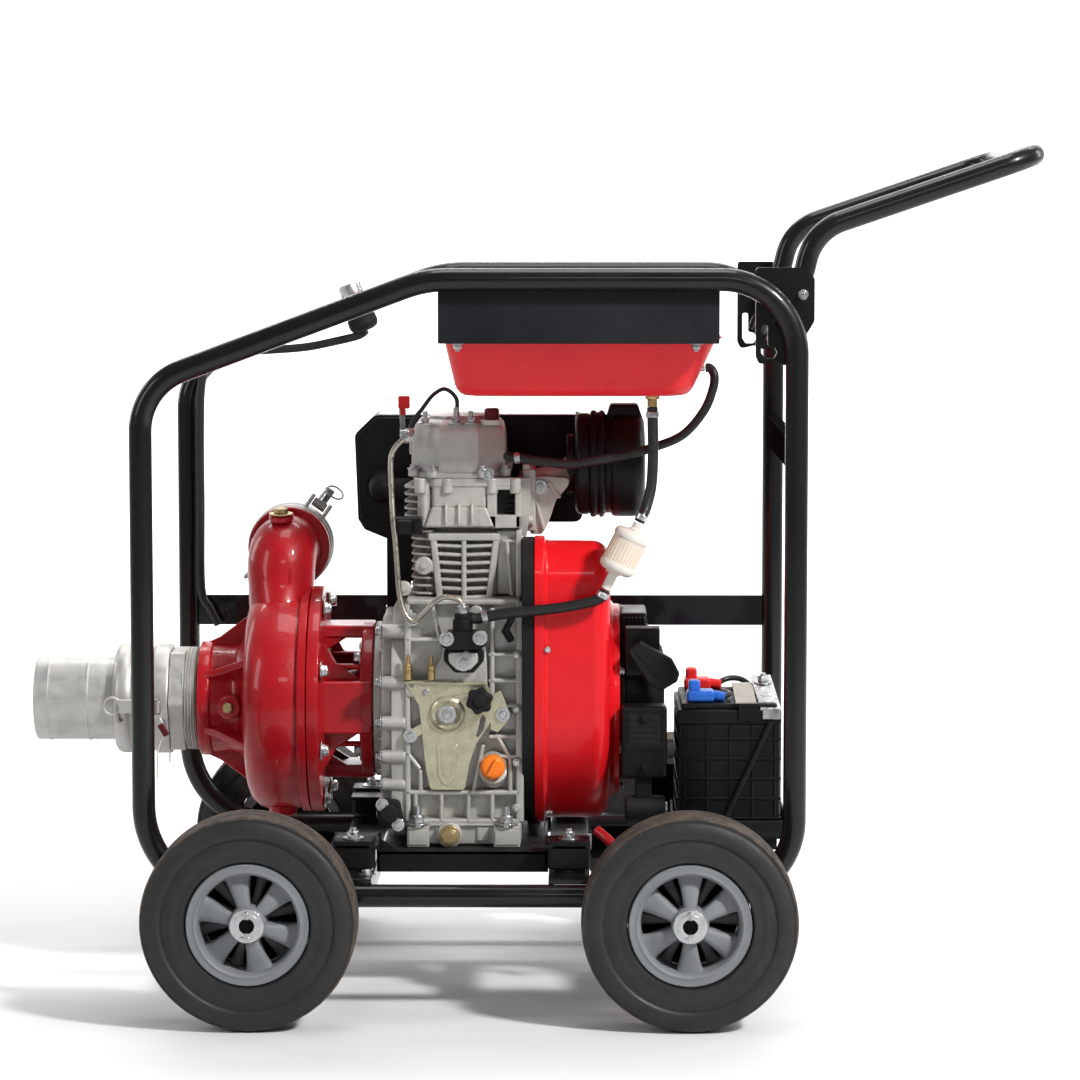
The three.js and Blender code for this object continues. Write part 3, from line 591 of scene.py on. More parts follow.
def roundpoly(pts, r, n=4):
    """Polygon with each corner rounded."""
    out = []
    m = len(pts)
    for i in range(m):
        p = Vector(pts[i][:2])
        rr = pts[i][2] if len(pts[i]) > 2 else r
        a = Vector(pts[i - 1][:2]) - p
        b = Vector(pts[(i + 1) % m][:2]) - p
        la, lb = a.length, b.length
        a.normalize()
        b.normalize()
        ang = math.pi - a.angle(b)
        d = min(rr * math.tan(ang / 2), la * 0.48, lb * 0.48)
        s0, s1 = p + a * d, p + b * d
        for k in range(n + 1):
            t = k / n
            q = s0 * (1 - t) ** 2 + p * 2 * t * (1 - t) + s1 * t * t
            out.append((q.x, q.y))
    return out


# ------------------------------------------------------------------ floor
bm = bmesh.new()
prof = [(-9.0, 0.0), (5.0, 0.0)] + [(5.0 + 3.0 * math.sin(math.radians(t)), 3.0 * (1 - math.cos(math.radians(t)))) for t in range(6, 91, 6)] + [(8.0, 9.0)]
rows = [[bm.verts.new((x, y, z)) for x in (-11.0, 11.0)] for y, z in prof]
for a_, b_ in zip(rows, rows[1:]):
    bm.faces.new((a_[0], a_[1], b_[1], b_[0]))
for f_ in bm.faces:
    f_.smooth = True
me = bpy.data.meshes.new("floor")
bm.to_mesh(me)
bm.free()
floor = bpy.data.objects.new("floor", me)
sc.collection.objects.link(floor)
floor.location = (0, 0, -0.0005)
g = G("pale_floor")
done(g, g.ramp(g.noise(3, 3, 0.5), [(0.3, (0.67, 0.67, 0.67)), (0.7, (0.685, 0.685, 0.685))]), g.rng(g.noise(8, 4, 0.5), 0.55, 0.65))
me.materials.append(g.m)

# ------------------------------------------------------------------ side frames
R = 13.45
for side, nm in ((-1, "near"), (1, "far")):
    y = side * 260
    fr = Piece(f"side_frame_{nm}_tube", slot="frame_black", replaces=f"side_frame_{nm}")
    loop = bent([(313.5, y, 142, 90), (313.5, y, 860, 86), (-115, y, 860, 150), (-445, y, 737, 75), (-445, y, 142, 105)], 4, closed=True)
    fr.tube(loop, R, M["frame"], 28, closed=True)
    # weld beads where the plates meet the pipe
    yi = side * 246.2
    fr.tube([(x, side * 250.6, 851.2) for x in range(-100, 226, 5)], 1.9, M["frame"], 8)
    # handle bracket plate, with its hooked slot
    a, b = sorted((side * 249.3, side * 243.2))
    plate = roundpoly([(266, 874, 4), (322, 874, 10), (334, 862, 8), (334, 812, 10), (318, 786, 12), (311, 764, 7), (300, 761, 6), (288, 766, 4), (270, 762, 6), (266, 772, 4)], 6, 5)
    slot = roundpoly([(272.5, 776), (272.5, 808), (280, 808), (280, 784), (288, 782), (291, 776), (287, 769), (277, 769)], 3, 3)
    fr.prism("XZ", plate, a, b, M["frame"], 1.2, 3, holes=[slot, circ(320, 843, 7.0, 28), circ(328, 861, 3.2, 16)])
    # folded stiffening flange down the inner edge of the bracket
    c, d = sorted((side * 243.4, side * 240.2))
    fr.box(266, 269, c, d, 806, 872, M["frame"], 0.8)
    # tank guard: folded plate hung under the pipe, with a lip under the tank flange
    c, d = sorted((side * 251.4, side * 247.0))
    fr.prism("XZ", roundpoly([(-101, 786), (-101, 851.8), (224.5, 851.8), (224.5, 786)], 3, 3), c, d, M["guard"], 1.4, 3)
    c, d = sorted((side * 249.0, side * 206.2))
    fr.box(-101, 224.5, c, d, 786, 789, M["guard"], 0.8)
    for xx in (-101, 222.0):
        c, d = sorted((side * 248, side * 226.8))
        fr.box(xx, xx + 2.5, c, d, 788, 846, M["guard"], 0.8)
    if side > 0:
        fr.box(-438, 307, 256.2, 264, 402, 441, M["frame"], 1.4, 3)
        fr.box(-436, 305, 257, 284 - 20, 402.3, 405, M["frame"], 0.8)
        ux, uz = 0.9371, 0.3492
        q = lambda s_, t_: (-224 + s_ * ux - t_ * uz, 820.5 + s_ * uz + t_ * ux)
        fr.prism("XZ", [q(-23, -1.3), q(23, -1.3), q(23, 1.3), q(-23, 1.3)], 198, 250, M["frame"], 0.7)
    fr.make()

# cross pieces between the loops
p = Piece("rear_cross_channel_detail", slot="frame_black", replaces="rear_cross_channel")
p.prism("XZ", roundpoly([(304, 640), (320, 640), (320, 643.2), (307.2, 643.2), (307.2, 672.8), (320, 672.8), (320, 676), (304, 676)], 1.5, 3), -246.2, 246.2, M["dull"], 0.5)
p.make()
p = Piece("front_cross_member_detail", slot="frame_black", replaces="front_cross_member")
p.box(-228, -180, -262, 262, 155.9, 161.9, M["frame"], 1.2)
p.box(-186, -180.4, -244, 244, 128.3, 157, M["frame"], 1.2)
for s_ in (-1, 1):
    p.box(-226, -183, s_ * 200 - 26, s_ * 200 + 26, 160.5, 162.0, M["frame"], 0.6)
    for xx in (-222, -186.5):
        p.hexbolt((xx, s_ * 232, 162), (0, 0, 1), 10, 4.6)
p.make()
p = Piece("battery_tray_detail", slot="satin_black", replaces="battery_tray")
p.box(27, 75, -262, 262, 155.9, 161.9, M["frame"], 1.2)
p.box(27.2, 33, -244, 244, 128.3, 157, M["frame"], 1.2)
p.box(70, 190, -60, 60, 155.9, 161.8, M["satin"], 1.2)
p.box(180, 215, -262, 262, 155.9, 161.9, M["frame"], 1.2)
for yy in (-120, 0):
    p.box(184, 210, yy, yy + 20, 161, 191, M["satin"], 1.0)
p.box(176, 312, -146, 38, 190, 193, M["satin"], 1.0)
p.box(176, 312, -146, -143, 190, 212, M["satin"], 1.0)
p.box(176, 312, 35.2, 38, 190, 208, M["satin"], 1.0)
p.box(309, 312, -146, 38, 190, 216, M["satin"], 1.0)
p.box(145.6, 193.4, 103, 106, 165.8, 242.5, M["dull"], 0.8)
p.box(78.1, 128.7, -99.5, -97, 158.2, 197.4, M["dull"], 0.6)
p.box(176, 179, -146, 38, 190, 208, M["satin"], 1.0)
for yy in (-140, 16):
    p.box(214, 300, yy, yy + 14, 176, 190.5, M["satin"], 1.2)
for yy in (-234, 234):
    p.hexbolt((197.5, yy, 161.9), (0, 0, 1), 10, 4.6)
p.make()

# ------------------------------------------------------------------ carry handle
p = Piece("carry_handle_tube", "handle", "carry_handle", "frame_black")
leg = lambda s_: [(291, s_ * 226, 787, 0), (323, s_ * 226, 869, 32), (334, s_ * 226, 916, 62)]
tip = [(592.4, -226, 1004.1, 46), (592.4, 226, 1004.1, 46)]
p.tube(bent(leg(-1) + tip + leg(1)[::-1], 5), 12.5, M["frame"], 26)
for s_ in (-1, 1):
    p.cyl((291, s_ * 226, 787), (290.3, s_ * 226, 785.4), 12.4, M["frame"], n=26)
    p.cyl((320, s_ * 214, 843), (320, s_ * 251, 843), 5.6, M["zinc"], n=20)
    p.hexbolt((320, s_ * 249.7, 843), (0, s_, 0), 9, 4.8, M["zinc"], nut=True, washer=False)
    p.hexbolt((320, s_ * 213.3, 843), (0, -s_, 0), 14, 7, M["zinc"], nut=True)
p.make()
p = Piece("handle_lock_bolts", slot="zinc")
for s_ in (-1, 1):
    p.hexbolt((294, s_ * 249.4, 802), (0, s_, 0), 8, 4.0, M["satin"])
    p.cyl((328, s_ * 249.2, 861), (328, s_ * 250.6, 861), 3.6, M["black"], n=20, b=0.4)
p.make()

# ------------------------------------------------------------------ wheels
def tyre(name, body, node, x, y, s_, rot):
    p = Piece(name, body, node, "tyre_rubber")
    side = [(72.4, 33.0), (74, 35.6), (78, 36.4), (80, 35.7), (86, 36.2), (88.5, 37.0), (90.5, 36.4), (96, 36.9), (98, 35.9), (99.5, 36.0), (101, 38.2), (104, 39.0), (108, 38.9), (113, 38.0), (118, 36.0), (121.6, 33.2), (123.6, 29.6)]
    # tread with two shallow grooves
    tread = [(124.6, 25), (124.9, 14), (124.9, 9.6), (122.6, 9.0), (122.6, 6.6), (124.9, 6.0), (125, 0)]
    half = side + tread
    prof = half + [(r, -a) for r, a in half[::-1][1:]] + [(72.0, -30), (72.0, 30)]
    k = len(side) - 2
    p.lathe((x, y, 125), (0, s_, 0), half[: k + 1] + [(112, 30), (72.0, 30)], M["tyre"], 112)
    p.lathe((x, y, 125), (0, -s_, 0), half[: k + 1] + [(112, 30), (72.0, 30)], M["tyre"], 112)
    outer = half[k:] + [(r, -a) for r, a in half[::-1][1:]][: len(half) - k - 1]
    p.lathe((x, y, 125), (0, s_, 0), outer + [(110, -30.0), (110, 30.0)], M["tread"], 112)
    p.make(weighted=False)


def wheel_hub(name, body, node, x, y, s_, rot):
    p = Piece(name, body, node, "rim_grey")
    C = Vector((x, y, 125))
    D = Vector((0, s_, 0))
    p.lathe(C, D, [(58.5, -33), (57.6, -30), (55.5, -6), (55.5, 6), (57.6, 30), (58.8, 33.2), (61, 34.6), (63.2, 33.8), (65.5, 33.8), (69.5, 34.2), (70.9, 32.6), (71.2, 28), (71.2, -28), (70.9, -32.6), (68, -34), (61, -34)], M["rim"], 96)
    p.lathe(C, D, [(10.6, -36), (18, -36), (21, -34), (21.7, -30), (21.7, 31), (21.0, 34.6), (19.6, 35.8), (10.6, 35.8)], M["rim"], 48)
    # dull black disc behind the spokes: painted shade filling the gaps between them
    p.lathe(C, D, [(21.4, -30.5), (57.2, -30.5), (57.2, -28.5), (21.4, -28.5)], M["dull"], 72)
    for layer, off, y0, y1 in ((0, 0, 5, 29), (1, 30, -27, -3)):
        for k in range(6):
            t = math.radians(rot + off + 60 * k)
            c, n = math.cos(t), math.sin(t)
            # rounded spoke that widens towards the rim and dishes in
            sec = []
            for j, (r, wd, f0, f1) in enumerate(((17, 6.6, y0, y1 + 2), (30, 8.4, y0, y1), (44, 11.2, y0, y1 - 4), (52, 13.6, y0, y1 - 7), (58.2, 17.5, y0 - 1, y1 - 6))):
                ring = []
                for uu, ff in ((-1, f0), (-1, f1 - 5), (-0.82, f1 - 1.8), (-0.4, f1), (0.4, f1), (0.82, f1 - 1.8), (1, f1 - 5), (1, f0)):
                    tt = uu * wd * (0.56 if layer else 1.06)
                    px, pz = r * c - tt * n, r * n + tt * c
                    ring.append((x + px, y + s_ * ff, 125 + pz))
                sec.append(ring)
            bm = bmesh.new()
            rows = [[bm.verts.new(v) for v in ring] for ring in sec]
            for A, B in zip(rows, rows[1:]):
                for i in range(8):
                    bm.faces.new((A[i], A[(i + 1) % 8], B[(i + 1) % 8], B[i]))
            bm.faces.new(rows[0])
            bm.faces.new(rows[-1][::-1])
            p.put(bm, M["rim"])
    p.make()


for (e, x, rot) in (("front", -317, 103), ("rear", 190, 90)):
    for s_, nm in ((-1, "near"), (1, "far")):
        tyre(f"tyre_{e}_{nm}_rubber", f"wheel_{e}_{nm}", f"tyre_{e}_{nm}", x, s_ * 321, s_, rot)
        wheel_hub(f"wheel_centre_{e}_{nm}", f"wheel_{e}_{nm}", f"wheel_hub_{e}_{nm}", x, s_ * 321, s_, rot)
    p = Piece(f"axle_{e}_shaft", slot="zinc", replaces=f"axle_{e}")
    p.cyl((x, -359.6, 125), (x, 359.6, 125), 9.8, M["steel"], n=36, b=0.6)
    for s_ in (-1, 1):
        p.cyl((x, s_ * 277.5, 125), (x, s_ * 281.8, 125), 17, M["zinc"], n=36)
        p.cyl((x, s_ * 357.1, 125), (x, s_ * 359.3, 125), 19.6, M["zinc"], n=44, b=0.6)
        p.cyl((x, s_ * 359.2, 125), (x, s_ * 360.4, 125), 14.5, M["zinc"], n=40, b=0.4)
        p.cyl((x, s_ * 360.2, 125), (x, s_ * 361.0, 125), 8.8, M["dull"], n=36, b=0.2)
        # split pin through the axle end, legs bent round it
        yy = s_ * 361.6
        p.tube(smooth([(x - 3, yy, 138.5), (x - 1.5, yy, 140.4), (x + 1.5, yy, 140.4), (x + 1.4, yy, 137), (x + 1.0, yy, 133)], 4), 1.05, M["zinc"], 8)
        p.tube(smooth([(x + 1.0, yy, 117), (x + 2.5, yy, 112.5), (x + 6.5, yy, 111)], 4), 1.05, M["zinc"], 8)
        p.tube(smooth([(x - 3, yy, 138.5), (x - 1.0, yy, 133)], 4), 1.05, M["zinc"], 8)
        p.tube(smooth([(x - 1.0, yy, 117), (x - 2.5, yy, 112), (x - 7, yy, 112)], 4), 1.05, M["zinc"], 8)
    p.make()

# ------------------------------------------------------------------ engine bed and rubber mounts
p = Piece("engine_bed_rails", slot="satin_black", replaces="engine_bed")
for s_ in (-1, 1):
    yb = lambda a, b: sorted((s_ * a, s_ * b))
    p.box(-179, 26, *yb(95, 160), 172.4, 177.6, M["satin"], 1.0)
    p.box(-179, 26, *yb(155.5, 160), 152, 177.6, M["satin"], 1.2)
    p.box(-179, -174.5, *yb(133, 160), 152, 195, M["satin"], 1.0)
    p.box(-228, -174.5, *yb(134, 222), 190.2, 195, M["satin"], 1.0)
    p.prism("XZ", roundpoly([(-174.5, 177), (-174.5, 192), (-150, 177)], 2, 3), *yb(155.8, 160), M["satin"], 0.8)
    p.box(21.5, 26, *yb(150, 160), 152, 195, M["satin"], 1.0)
    p.box(21.5, 75, *yb(150, 222), 190.2, 195, M["satin"], 1.0)
    for xx in (-132.5, -24):
        for yy in (112, 146):
            p.hexbolt((xx, s_ * yy, 172.2), (0, 0, -1), 13, 6.5, washer=True)
p.box(-172, 20, -94, 94, 172, 177.4, M["satin"], 1.0)
for x0_, x1_ in ((-174, -147), (-2, 24)):
    p.box(x0_, min(x1_, 15) if x0_ < 15 else x1_, 52, 56, 176, 250, M["satin"], 1.0)
    p.box(x0_, x1_, -94, 94, 158, 173, M["satin"], 1.2)
for x in (-204, 51):
    for s_ in (-1, 1):
        p.hexbolt((x, s_ * 200, 199.6), (0, 0, 1), 13, 7.5, nut=True)
        p.cyl((x, s_ * 200, 205), (x, s_ * 200, 212), 3.6, M["zinc"], n=18)
        # pressed cap over the rubber, with a rolled edge and turned down sides
        p.prism("XY", roundpoly([(x - 25, s_ * 200 - 22), (x + 25, s_ * 200 - 22), (x + 25, s_ * 200 + 22), (x - 25, s_ * 200 + 22)], 6, 4), 166, 199.8, M["black"], 5.0, 4)
p.make()
for e, x in (("front", -204), ("rear", 51)):
    for s_, nm in ((-1, "near"), (1, "far")):
        p = Piece(f"rubber_mount_{e}_{nm}_block", slot="mount_rubber", replaces=f"rubber_mount_{e}_{nm}")
        p.lathe((x, s_ * 200, 0), (0, 0, 1), [(0, 162.3), (18.6, 162.3), (19, 163), (19, 165), (18, 166.6), (16.4, 169.5), (15.4, 174), (15.4, 178), (16.4, 182.5), (18, 185.6), (19, 187), (19, 189), (18.4, 189.7), (0, 189.7)], M["mount"], 40)
        p.make(weighted=False)


# ------------------------------------------------------------------ engine
CZ0 = 340
NF = -130.0  # near face of the crankcase
A, AF, AB = M["alu"], M["alu_fine"], M["alu_bright"]

# gear cover towards the pump: stacked bosses with bolts, round spigot
p = Piece("gear_cover_casting", slot="cast_alu", replaces="gear_cover")
out = roundpoly([(-118, 186), (118, 186), (127, 215), (127, 400), (105, 440), (60, 459), (-60, 459), (-105, 440), (-127, 400), (-127, 215)], 22, 5)
p.prism("YZ", out, -163, -145.4, A, 1.6, 3)
out2 = roundpoly([(-108, 196), (108, 196), (116, 222), (116, 392), (96, 430), (55, 448), (-55, 448), (-96, 430), (-116, 392), (-116, 222)], 22, 5)
p.prism("YZ", out2, -176, -162, A, 3.0, 3)
p.lathe((0, 0, CZ0), (1, 0, 0), [(24.5, -187), (93, -187), (95, -185.5), (95, -176), (99, -172), (24.5, -172)], A, 72)
for z, yy in ((437.1, -120), (375.1, -124), (326.8, -124), (285.6, -124), (251.6, -122), (215.1, -112)):
    for s_ in (-1, 1):
        yv = yy if s_ < 0 else -yy
        p.cyl((-174.5, yv, z), (-145.6, yv, z), 8.2, A, n=24, b=1.6, r1=9.0)
        p.bar((-160, yv * 0.97, z), (-160, yv * 0.72, z), 9, 26, A, 1.5, up=(1, 0, 0))
        p.hexbolt((-174.6, yv, z), (-1, 0, 0), 10, 5.2, M["zinc"])
for z0 in (225, 262, 300, 372, 408):
    p.bar((-176, -60, z0), (-176, -106, z0 + 4), 4, 8, A, 1.2, up=(1, 0, 0))
p.make()

# crankcase: near face is a thin recessed wall stiffened by cast ribs
p = Piece("crankcase_casting", slot="cast_alu", replaces="crankcase")
p.box(-144.6, -6.4, -115, 116, 206, 475.6, A, 2.0)
p.box(-144.6, -6.4, 112, 128, 214, 470, A, 3.0)
YR = -130.6
def rib(x0, z0, x1, z1, w=4.0, top=YR, bot=-113):
    p.bar((x0, (top + bot) / 2, z0), (x1, (top + bot) / 2, z1), w * 1.4, bot - top, A, 2.2, up=(0, 1, 0))
def ribs(pts, w=4.0, Y=-130.6):
    for (a_, b_), (c_, d_) in zip(pts, pts[1:]):
        rib(a_, b_, c_, d_, w)
# raised land behind the control plate and the pump
p.prism("XZ", roundpoly([(-123.2, 367.0), (-103.9, 403.2), (-96.7, 427.3), (-48.8, 427.4), (-46.5, 367.1), (-58.5, 318.7), (-77.8, 258.1), (-111.5, 258.0), (-118.6, 306.5)], 8, 5), -129.8, -117, A, 2.2, 3)
# perimeter flange
ribs([(-143, 207), (-143, 470)], 5)
ribs([(-8.5, 207), (-8.5, 474)], 7)
ribs([(-143, 473), (-8, 473)], 5)
ribs([(-144, 208), (-8, 208)], 5)
# lower grid
zt, zb = 242.8, 204.0
ribs([(-146.7, zt), (-6.8, zt)], 4.5)
for px in (-133.6, -102.5, -70.2, -41.5):
    ribs([(px, zt), (px, 206)], 4)
ribs([(-146.7, zb), (-6.8, zb)], 4)
# right hand grid
for zz in (409.7, 378.3, 348.1, 310.7, 286.5):
    ribs([(-46.3, zz), (-6.8, zz)], 4)
ribs([(-41.5, 466.2), (-41.5, 348.1)], 4.5)
ribs([(-35.5, 310.7), (-20.0, 286.5), (-20.0, zt)], 4)
ribs([(-52.3, 301.0), (-64.2, zt)], 4)
# upper left ribs and bosses
ribs([(-139.5, 463.8), (-141.9, 403.6)], 4)
ribs([(-113.2, 468.6), (-103.7, 427.7)], 4)
ribs([(-146.7, 427.7), (-101.3, 427.7)], 4)
ribs([(-145.5, 292.5), (-127.6, 270.7), (-127.6, zt)], 4)
for px, pz, r_ in ((-137.1, 451.8, 8), (-60.6, 461.4, 8), (-137.1, 367.5, 9), (-139.5, 311.9, 9), (-28.3, 337.3, 10)):
    p.cyl((px, -132.6, pz), (px, -117, pz), r_, A, n=32, b=1.5)
p.hexbolt((-137.0, -132.4, 452.1), (0, -1, 0), 8, 4)
# vertical strip of small bolts by the blower
for z in (225, 280, 345, 410, 463):
    p.cyl((-12, -134.8, z), (-12, -131, z), 5.2, A, n=20, b=0.8)
    p.hexbolt((-12, -134.6, z), (0, -1, 0), 6, 3.0, M["zinc"], washer=False)
# cast neck below the oil filler cap
p.cyl((-40.5, -130.4, 270), (-40.5, -116, 262), 17, A, n=40, b=2)
p.lathe((-40.5, 0, 276), (0, -1, 0), [(10, 116), (16.6, 116), (16.6, 128), (15.4, 130.0), (10, 130.0)], A, 40)
# sump with square feet
p.box(-144, -7, -126, 118, 179, 208, A, 3.0, 3)
for xa, xb in ((-143.5, -117), (-40, -8)):
    p.box(xa, xb, -141.5, -100, 178.3, 204, A, 1.6, 3)
    p.box(xa + 1.5, xb - 1.5, -143, -137, 181, 200, A, 1.4, 2)
    p.box(xa, xb, 100, 130, 178.2, 208, A, 2.0, 3)
p.box(-110, -92, -129, -118, 184, 202, A, 1.5)
p.box(-60, -46, -129, -118, 184, 202, A, 1.5)
for x in (-130.5, -24):
    p.cyl((x, -135.5, 203), (x, -135.5, 206.4), 10.5, M["zinc"], n=32, b=0.6)
    p.hexbolt((x, -135.5, 206), (0, 0, 1), 14, 9, M["zinc"], nut=False)
    p.cyl((x, -135.5, 212), (x, -135.5, 228), 4.2, M["zinc"], n=20)
# oil drain: boss and flanged plug
dx, dz = (-92.7, 192.1)
p.cyl((dx, -136, dz), (dx, -120, dz), 15.5, A, n=44, b=2.0)
p.cyl((dx, -138.4, dz), (dx, -135.6, dz), 12.6, M["gold"], n=40, b=0.8)
p.hexbolt((dx, -138.2, dz), (0, -1, 0), 18, 7.5, M["gold"], washer=False)
# far side: ribbed wall, round inspection cover and its bolts
for x_ in (-128, -98, -54, -24):
    p.box(x_ - 2.4, x_ + 2.4, 114, 120.4, 216, 462, A, 1.8)
for z_ in (240, 300, 380, 440):
    p.box(-142, -9, 114, 119.6, z_ - 2.2, z_ + 2.2, A, 1.6)
p.lathe((-76, 114, 340), (0, 1, 0), [(0, 0), (46, 0), (46, 6.4), (44.4, 8), (34, 8), (32, 9.6), (0, 9.6)], M["alu_fine"], 64)
for k_ in range(6):
    t_ = math.radians(60 * k_ + 30)
    p.hexbolt((-76 + 39.6 * math.cos(t_), 122, 340 + 39.6 * math.sin(t_)), (0, 1, 0), 8, 4)
for x_, z_ in ((-136, 224), (-14, 224), (-136, 456), (-14, 456), (-136, 340), (-14, 340)):
    p.cyl((x_, 110, z_), (x_, 120.5, z_), 7.2, A, n=28, b=1.2)
    p.hexbolt((x_, 120.5, z_), (0, 1, 0), 8, 4)
p.make()

p = Piece("oil_strainer_cover", slot="black_plastic")
c = (-164.2, -134.0, 218.9)
p.prism("XZ", roundpoly([(c[0] - 17, c[2] + 8), (c[0] - 8, c[2] + 19), (c[0] + 12, c[2] + 16), (c[0] + 16, c[2] - 6), (c[0] + 8, c[2] - 19), (c[0] - 12, c[2] - 16)], 6, 4), -141, -131, M["black_rough"], 2.0, 3)
p.cyl((c[0], -146, c[2]), (c[0], -140, c[2]), 11, M["black_rough"], n=32, b=1.5)
p.hexbolt((c[0] + 10, -141, c[2] - 13), (0, -1, 0), 8, 4)
p.hexbolt((c[0] - 9, -141, c[2] + 11), (0, -1, 0), 8, 4)
p.make()

p = Piece("brass_bleed_screws", slot="bronze")
for px in ((-141.6), (-114.1)):
    z0 = 380.6
    p.cyl((px, -138, z0), (px, -138, z0 + 12), 4.6, M["brass"], n=24)
    p.hexbolt((px, -138, z0 + 12), (0, 0, 1), 8, 6, M["brass"], washer=False)
    p.cyl((px, -138, z0 + 18), (px, -138, z0 + 30), 2.6, M["brass"], n=18, r1=1.9)
    p.cyl((px, -138, z0 + 8), (px, -129, z0 + 8), 4.0, M["brass"], n=20)
p.make()

# oil filler cap with a bar grip
p = Piece("oil_filler_cap_knob", "oil_cap", "oil_filler_cap", "orange_plastic")
p.lathe((-40.5, -130.3, 276), (0, -1, 0), [(0, 0), (9.5, 0), (9.5, 3.5), (13.6, 4.0), (14.4, 5.5), (14.4, 13), (13.8, 15.5), (12.0, 17.2), (9, 17.8), (0, 17.8)], M["orange"], 56)
for k in range(18):
    t = 2 * math.pi * k / 18
    p.cyl((-40.5 + 14.1 * math.cos(t), -136, 276 + 14.1 * math.sin(t)), (-40.5 + 14.1 * math.cos(t), -144.5, 276 + 14.1 * math.sin(t)), 1.2, M["orange"], n=8, b=0.4)
T = Matrix.Translation((-40.5, 0, 276)) @ Matrix.Rotation(math.radians(28), 4, "Y") @ Matrix.Translation((40.5, 0, -276))
p.box(-43.2, -37.8, -153.6, -146, 264.5, 287.5, M["orange"], 2.0, 3, T=T)
p.make()

# speed control plate: yellow zinc pressing with an embossed tongue, a curved slot and tabs
p = Piece("speed_control_plate_pressing", slot="yellow_zinc", replaces="speed_control_plate")
out = roundpoly([(-149.1, 378.8), (-122.8, 379.5), (-48.6, 376.6), (-43.9, 368.1), (-39.1, 348.8), (-42.7, 329.5), (-60.7, 302.9), (-68.0, 281.2), (-74.6, 247.2), (-115.4, 247.2), (-120.7, 271.4), (-126.6, 327.0), (-128.9, 348.7), (-139.6, 368.0)], 5, 5)
slot_ = roundpoly([(-53.5, 339.2), (-48.7, 334.4), (-51.1, 319.9), (-58.3, 310.2), (-63.1, 313.8), (-58.3, 324.7)], 2, 3)
p.prism("XZ", out, -134, -130.6, M["yzinc"], 0.9, 2, holes=[slot_, circ(-138.1, 373.1, 3.0, 14)])
# right hand ear and its bolt, lower left lug
p.prism("XZ", roundpoly([(-41.5, 360.9), (-31.9, 368.1), (-21.2, 344.0), (-22.4, 329.6), (-34.4, 316.3), (-43.9, 319.9)], 3, 4), -133.6, -130.8, M["yzinc"], 0.9)
p.hexbolt((-28.4, -133.8, 338.1), (0, -1, 0), 9, 4.2)
p.prism("XZ", roundpoly([(-145.8, 314.9), (-137.4, 320.9), (-123.0, 329.4), (-120.6, 317.3), (-135.0, 307.7), (-143.4, 305.2)], 3, 4), -133.4, -130.8, M["yzinc"], 0.9)
p.hexbolt((-139.9, -133.6, 312.1), (0, -1, 0), 8, 4.0)
# folded top edge and embossed tongue
p.bar((-146.8, -135.0, 377.5), (-48.7, -135.0, 375.2), 3.0, 4.4, M["yzinc"], 0.9, up=(0, 1, 0))
tongue = roundpoly([(-108.7, 302.7), (-82.3, 302.8), (-86.0, 261.6), (-94.4, 251.9), (-101.6, 254.3), (-106.4, 264.0)], 4, 5)
p.prism("XZ", tongue, -135.3, -133.6, M["yzinc"], 1.1, 3)
inner_ = roundpoly([(-103.9, 298.0), (-87.1, 298.1), (-89.6, 266.6), (-96.8, 260.5), (-101.5, 269.0)], 3, 5)
p.prism("XZ", inner_, -135.9, -134.8, M["yzinc"], 0.6, 2)
p.cyl((-120.6, -133.6, 365.3), (-120.5, -135.4, 365.5), 4.0, M["zinc"], n=24)
p.make()
p = Piece("speed_lever_and_star_knob", "speed_control", "speed_lever", "yellow_zinc")
cx, cz = -94.8, 339.4
p.lathe((cx, -134.3, cz), (0, -1, 0), [(0, 0), (21.4, 0), (21.8, 0.6), (21.4, 2.4), (19.6, 4.4), (17.2, 5.4), (15.4, 4.6), (14, 3.2), (10.6, 3.0), (9.8, 4.4), (9.2, 6.0), (0, 6.4)], M["yzinc"], 56)
p.hexbolt((cx, -140.6, cz), (0, -1, 0), 11, 5.0, nut=True)
p.prism("XZ", roundpoly([(cx - 4, cz + 19), (cx - 10, cz - 12), (cx + 14, cz - 14), (cx + 34, cz - 4), (cx + 52, cz + 6), (cx + 52, cz + 24), (cx + 30, cz + 26)], 6, 4), -136.6, -134.6, M["yzinc"], 0.7)
kx, kz = cx + 38.8, cz + 17.5
star = []
for k in range(72):
    t = 2 * math.pi * k / 72
    rr = 15.2 + 1.5 * math.cos(6 * t)
    star.append((kx + rr * math.cos(t + 0.3), kz + rr * math.sin(t + 0.3)))
p.prism("XZ", star, -155, -143, M["black_rough"], 3.0, 4)
p.cyl((kx, -144, kz), (kx, -136.5, kz), 6.5, M["black"], n=28)
p.cyl((kx, -157, kz), (kx, -153, kz), 8.0, M["black_rough"], n=32, b=1.8)
p.make()

# injection pump: delivery holder, oval flange with two bolts, black base pad
p = Piece("injection_pump_body", slot="satin_black", replaces="injection_pump")
fy = -131
BG = M["black_gloss"]
p.cyl((-75.9, -150, 430), (-75.9, -150, 455), 12.0, BG, n=40, b=1.5)
p.cyl((-75.9, -150, 452), (-75.9, -150, 461.6), 9.6, BG, n=36, b=1.2)
p.hexbolt((-75.9, -150, 441), (0, 0, 1), 21, 6, BG, washer=False)
p.prism("XZ", roundpoly([(-101.5, 433.5), (-93.1, 441.8), (-57.5, 441.9), (-46.8, 433.5), (-48.0, 425.2), (-57.5, 420.4), (-93.2, 420.3), (-101.5, 425.1)], 4, 4), -172, -140, BG, 2.4, 3)
p.prism("XZ", roundpoly([(-98.6, 419.1), (-50.9, 419.2), (-50.9, 404.8), (-62.9, 390.3), (-85.6, 390.3), (-98.7, 404.7)], 6, 4), -150, fy, BG, 2.0, 3)
